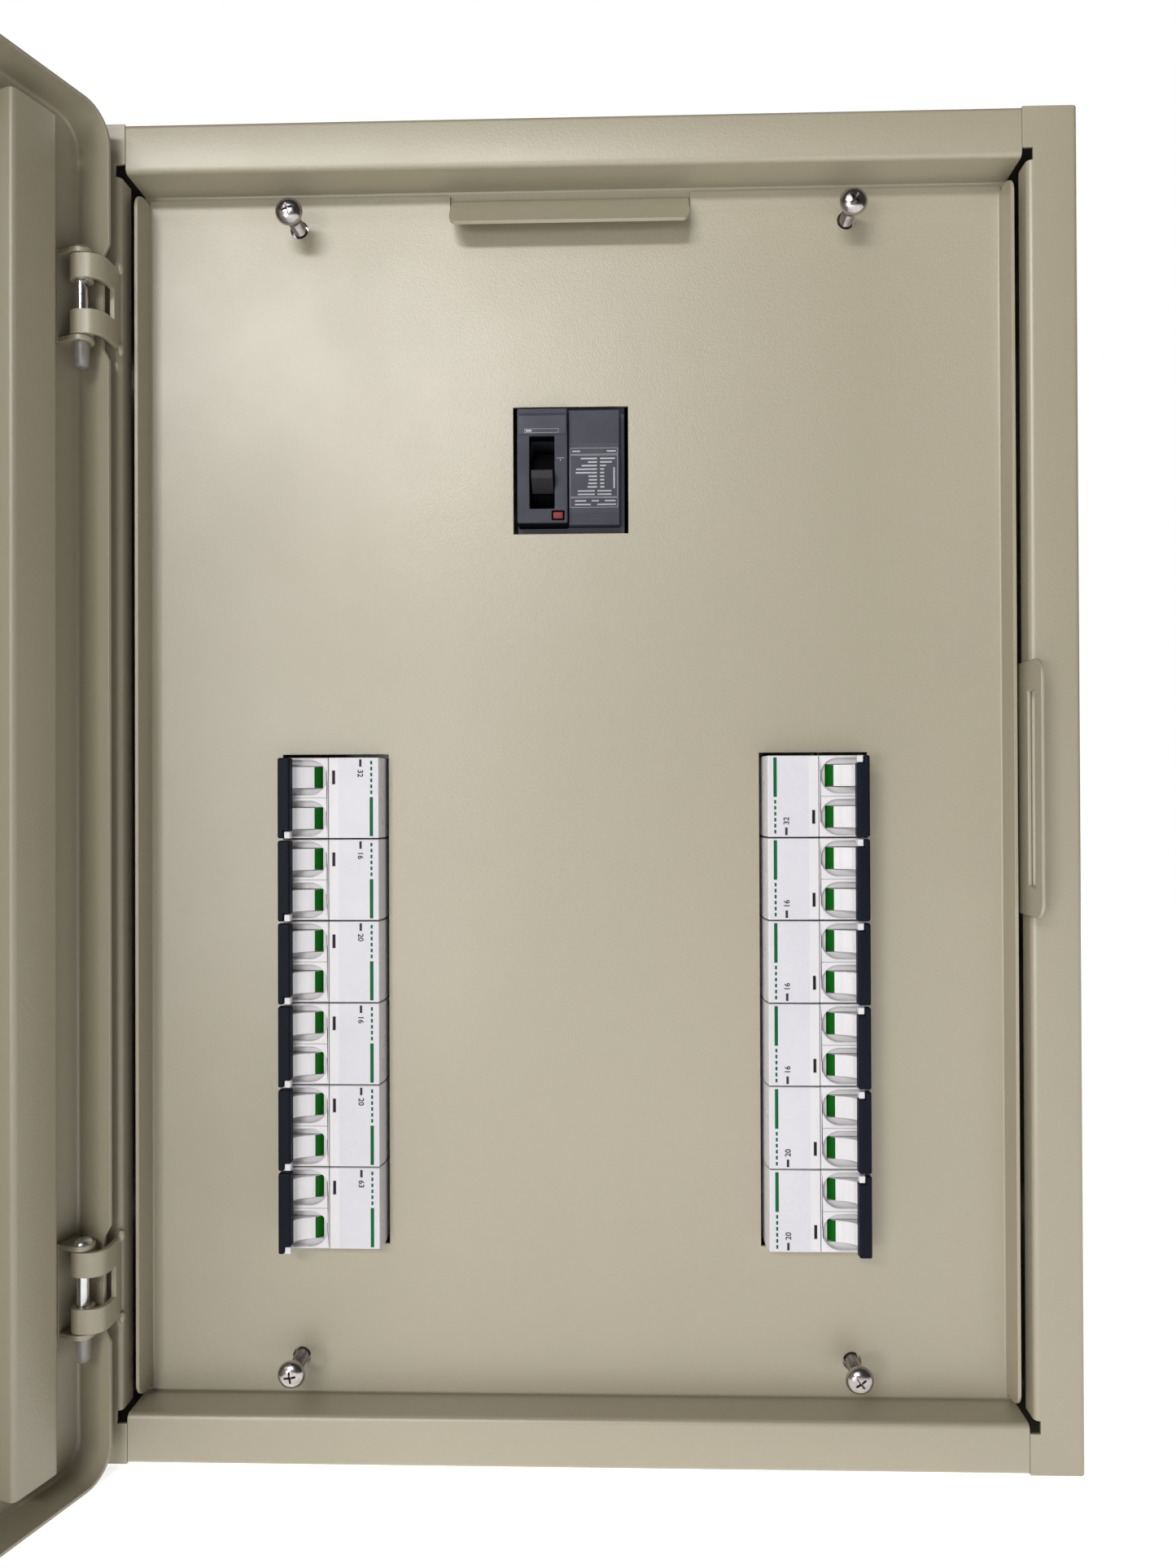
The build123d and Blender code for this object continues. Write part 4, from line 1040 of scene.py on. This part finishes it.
def numeral(value, place):
    """A printed number, lying along the unit like its other marks."""
    text = bpy.data.curves.new("numeral", "FONT")
    text.body = str(value)
    text.size = 3.4 * MM
    text.offset = 0.07 * MM
    mesh = applied(stood("numeral", text))
    mesh.transform(place)
    mesh.materials.clear()
    return stood("numeral", mesh, grey_print)


def in_stack(side, n):
    """The place of a column's unit n, from the top; the right-hand column is turned half round."""
    x, turn = (-STACK_X, 0) if side == "left" else (STACK_X, 180)
    return at(x, 0, STACK_TOP - PITCH * (n + 0.5)) @ Matrix.Rotation(math.radians(turn), 4, "Y")


reading = at(11.6, -FACE - 0.07, 12.4) @ plane((0, 0, -1), (1, 0, 0))
for side, ratings in RATINGS.items():
    for n, rating in enumerate(ratings):
        blank = stood("case", case_mesh.copy())
        unit = fuse(f"breaker_{side}_{n + 1}_case", [blank, numeral(rating, reading)])
        unit.data.transform(in_stack(side, n))
        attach(unit, "root")
        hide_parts(f"breaker_{side}_{n + 1}")

# ---------------------------------------------------------------- breaker toggles
# Each unit's toggle is one moving piece: a white drum and lever for each pole, with a green strip that shows
# when off, and a navy grip clipped across both levers with a small white tab at one end.

GREEN_FROM, GREEN_TO = 31, 62            # the strip's ends, in degrees round the drum
GRIP_LOW, GRIP_OUT = -122.6, -127.2
TAB_LOW, TAB_OUT = -123.4, -126.6

drum_arc = [
    *arc((0, 0), DRUM_R, -195, GREEN_FROM, 40), *arc((0, 0), DRUM_R, GREEN_FROM, GREEN_TO, 6)[1:],
    *arc((0, 0), DRUM_R, GREEN_TO, 88, 5)[1:],
]
drum_outline = [(DRUM_U + a, DRUM_Y - b) for a, b in drum_arc]
drum_outline += [(-15.3, -121.5), (-17.6, -124.8), (-21.2, -124.8), (-19.6, -117.6)]
toggle_parts = []
for pole in (-POLE, POLE):
    drum_piece = prism("drum", drum_outline, pole - DRUM_W / 2, pole + DRUM_W / 2, as_drawn, white, strip_green)
    for polygon in drum_piece.data.polygons:
        towards = polygon.center / MM - Vector((DRUM_U, DRUM_Y, pole))
        angle = math.degrees(math.atan2(-towards.y, towards.x))
        if abs(towards.z) < 1 and GREEN_FROM < angle < GREEN_TO:
            polygon.material_index = 1
    toggle_parts.append(soften(drum_piece, 0.3, angle=25))
grip = [(-22.0, GRIP_LOW), (-22.0, GRIP_OUT), (-16.6, GRIP_OUT), (-16.3, GRIP_LOW)]
grip_end = [(-22.0, GRIP_LOW), (-22.0, GRIP_OUT), (-19.4, GRIP_OUT), (-19.4, GRIP_LOW)]
tab = [(-19.2, TAB_LOW), (-19.2, TAB_OUT), (-16.6, TAB_OUT), (-16.6, TAB_LOW)]
toggle_parts += [
    soften(prism("grip", grip, -HALF + 3.2, HALF - 0.1, as_drawn, navy), 0.9, 3),
    soften(prism("grip_end", grip_end, -HALF + 0.1, -HALF + 5, as_drawn, navy), 0.9, 3),
    soften(prism("tab", tab, -HALF + 0.1, -HALF + 3.1, as_drawn, white), 0.4),
]
toggle = fuse("breaker_toggle", toggle_parts)
toggle_mesh = toggle.data
bpy.data.objects.remove(toggle)
for side, ratings in RATINGS.items():
    for n in range(len(ratings)):
        name = f"toggle_{side}_{n + 1}"
        unit = stood(f"{name}_grip", toggle_mesh.copy())
        unit.data.transform(in_stack(side, n))
        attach(unit, name)
        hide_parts(name)

# ---------------------------------------------------------------- floor, light and camera
# A pale floor under the box, soft lights from the left and the front, one behind for the back, and a camera
# square on to the box and close to it.

pale = grained(
    finish("pale_floor", (0.9, 0.9, 0.9), 0.7, Emission_Strength=0.74),
    Color=(0.93, 0.93, 0.93), Patch_Color=(0.9, 0.9, 0.9), Patch_Scale=2,
    Grain_Scale=300, Depth=0.02, Rough_Low=0.65, Rough_High=0.75,
)
pale.node_tree.nodes["Principled BSDF"].inputs["Emission Color"].default_value = (1, 1, 1, 1)
ground = -BOX_Z - 0.5
wide, near, far = 2600, -3200, 2300
floor = cage(
    "floor", [(-wide, near, ground), (wide, near, ground), (wide, far, ground), (-wide, far, ground)],
    [(0, 1, 2, 3)], pale,
)
if floor.data.polygons[0].normal.z < 0:
    floor.data.flip_normals()

world = bpy.data.worlds.new("studio")
bpy.context.scene.world = world
world.use_nodes = True
sky = world.node_tree.nodes["Background"]
sky.inputs["Color"].default_value = (1, 1, 1, 1)
sky.inputs["Strength"].default_value = 0.05
backdrop = world.node_tree.nodes.new("ShaderNodeBackground")
backdrop.inputs["Color"].default_value = (1, 1, 1, 1)
seen = world.node_tree.nodes.new("ShaderNodeLightPath")
either = world.node_tree.nodes.new("ShaderNodeMixShader")
link = world.node_tree.links.new
link(seen.outputs["Is Camera Ray"], either.inputs["Fac"])
link(sky.outputs["Background"], either.inputs[1])
link(backdrop.outputs["Background"], either.inputs[2])
link(either.outputs["Shader"], world.node_tree.nodes["World Output"].inputs["Surface"])


def soft_light(name, place, aim, wide, high, power, color=(1, 1, 1)):
    """A rectangular studio light at a place, in metres, turned towards a point."""
    lamp = bpy.data.lights.new(name, "AREA")
    lamp.shape = "RECTANGLE"
    lamp.size, lamp.size_y = wide, high
    lamp.energy = power
    lamp.color = color
    holder = bpy.data.objects.new(name, lamp)
    holder.location = place
    holder.rotation_euler = (Vector(aim) - Vector(place)).to_track_quat("-Z", "Y").to_euler()
    bpy.context.scene.collection.objects.link(holder)


soft_light("key", (-0.72, -2.3, 1.05), (0, -0.1, 0), 1.4, 0.25, 29, (1, 0.985, 0.965))
soft_light("high", (-0.6, -2.0, 1.7), (0, -0.1, 0), 1.4, 0.4, 4)
soft_light("sheen", (-0.85, -2.3, 0.15), (0, -0.1, 0), 0.6, 0.8, 4, (1, 0.99, 0.975))
soft_light("low", (-0.95, -1.9, -0.1), (0, -0.1, -0.15), 0.5, 0.3, 8)
soft_light("front", (-0.1, -3.0, 0.35), (0, -0.1, 0), 2.2, 1.2, 1.5)
soft_light("behind", (1.2, 2.2, 1.4), (0, 0, 0), 1.5, 1.5, 25)

camera = bpy.data.cameras.new("camera")
camera.lens = 25.965
eye = bpy.data.objects.new("camera", camera)
eye.location = (0.02064, -0.61367, -0.00018)
eye.rotation_euler = [math.radians(turn) for turn in (90.3289, 0.2194, 1.5935)]
bpy.context.scene.collection.objects.link(eye)
bpy.context.scene.camera = eye
bpy.context.scene.view_settings.view_transform = "Standard"
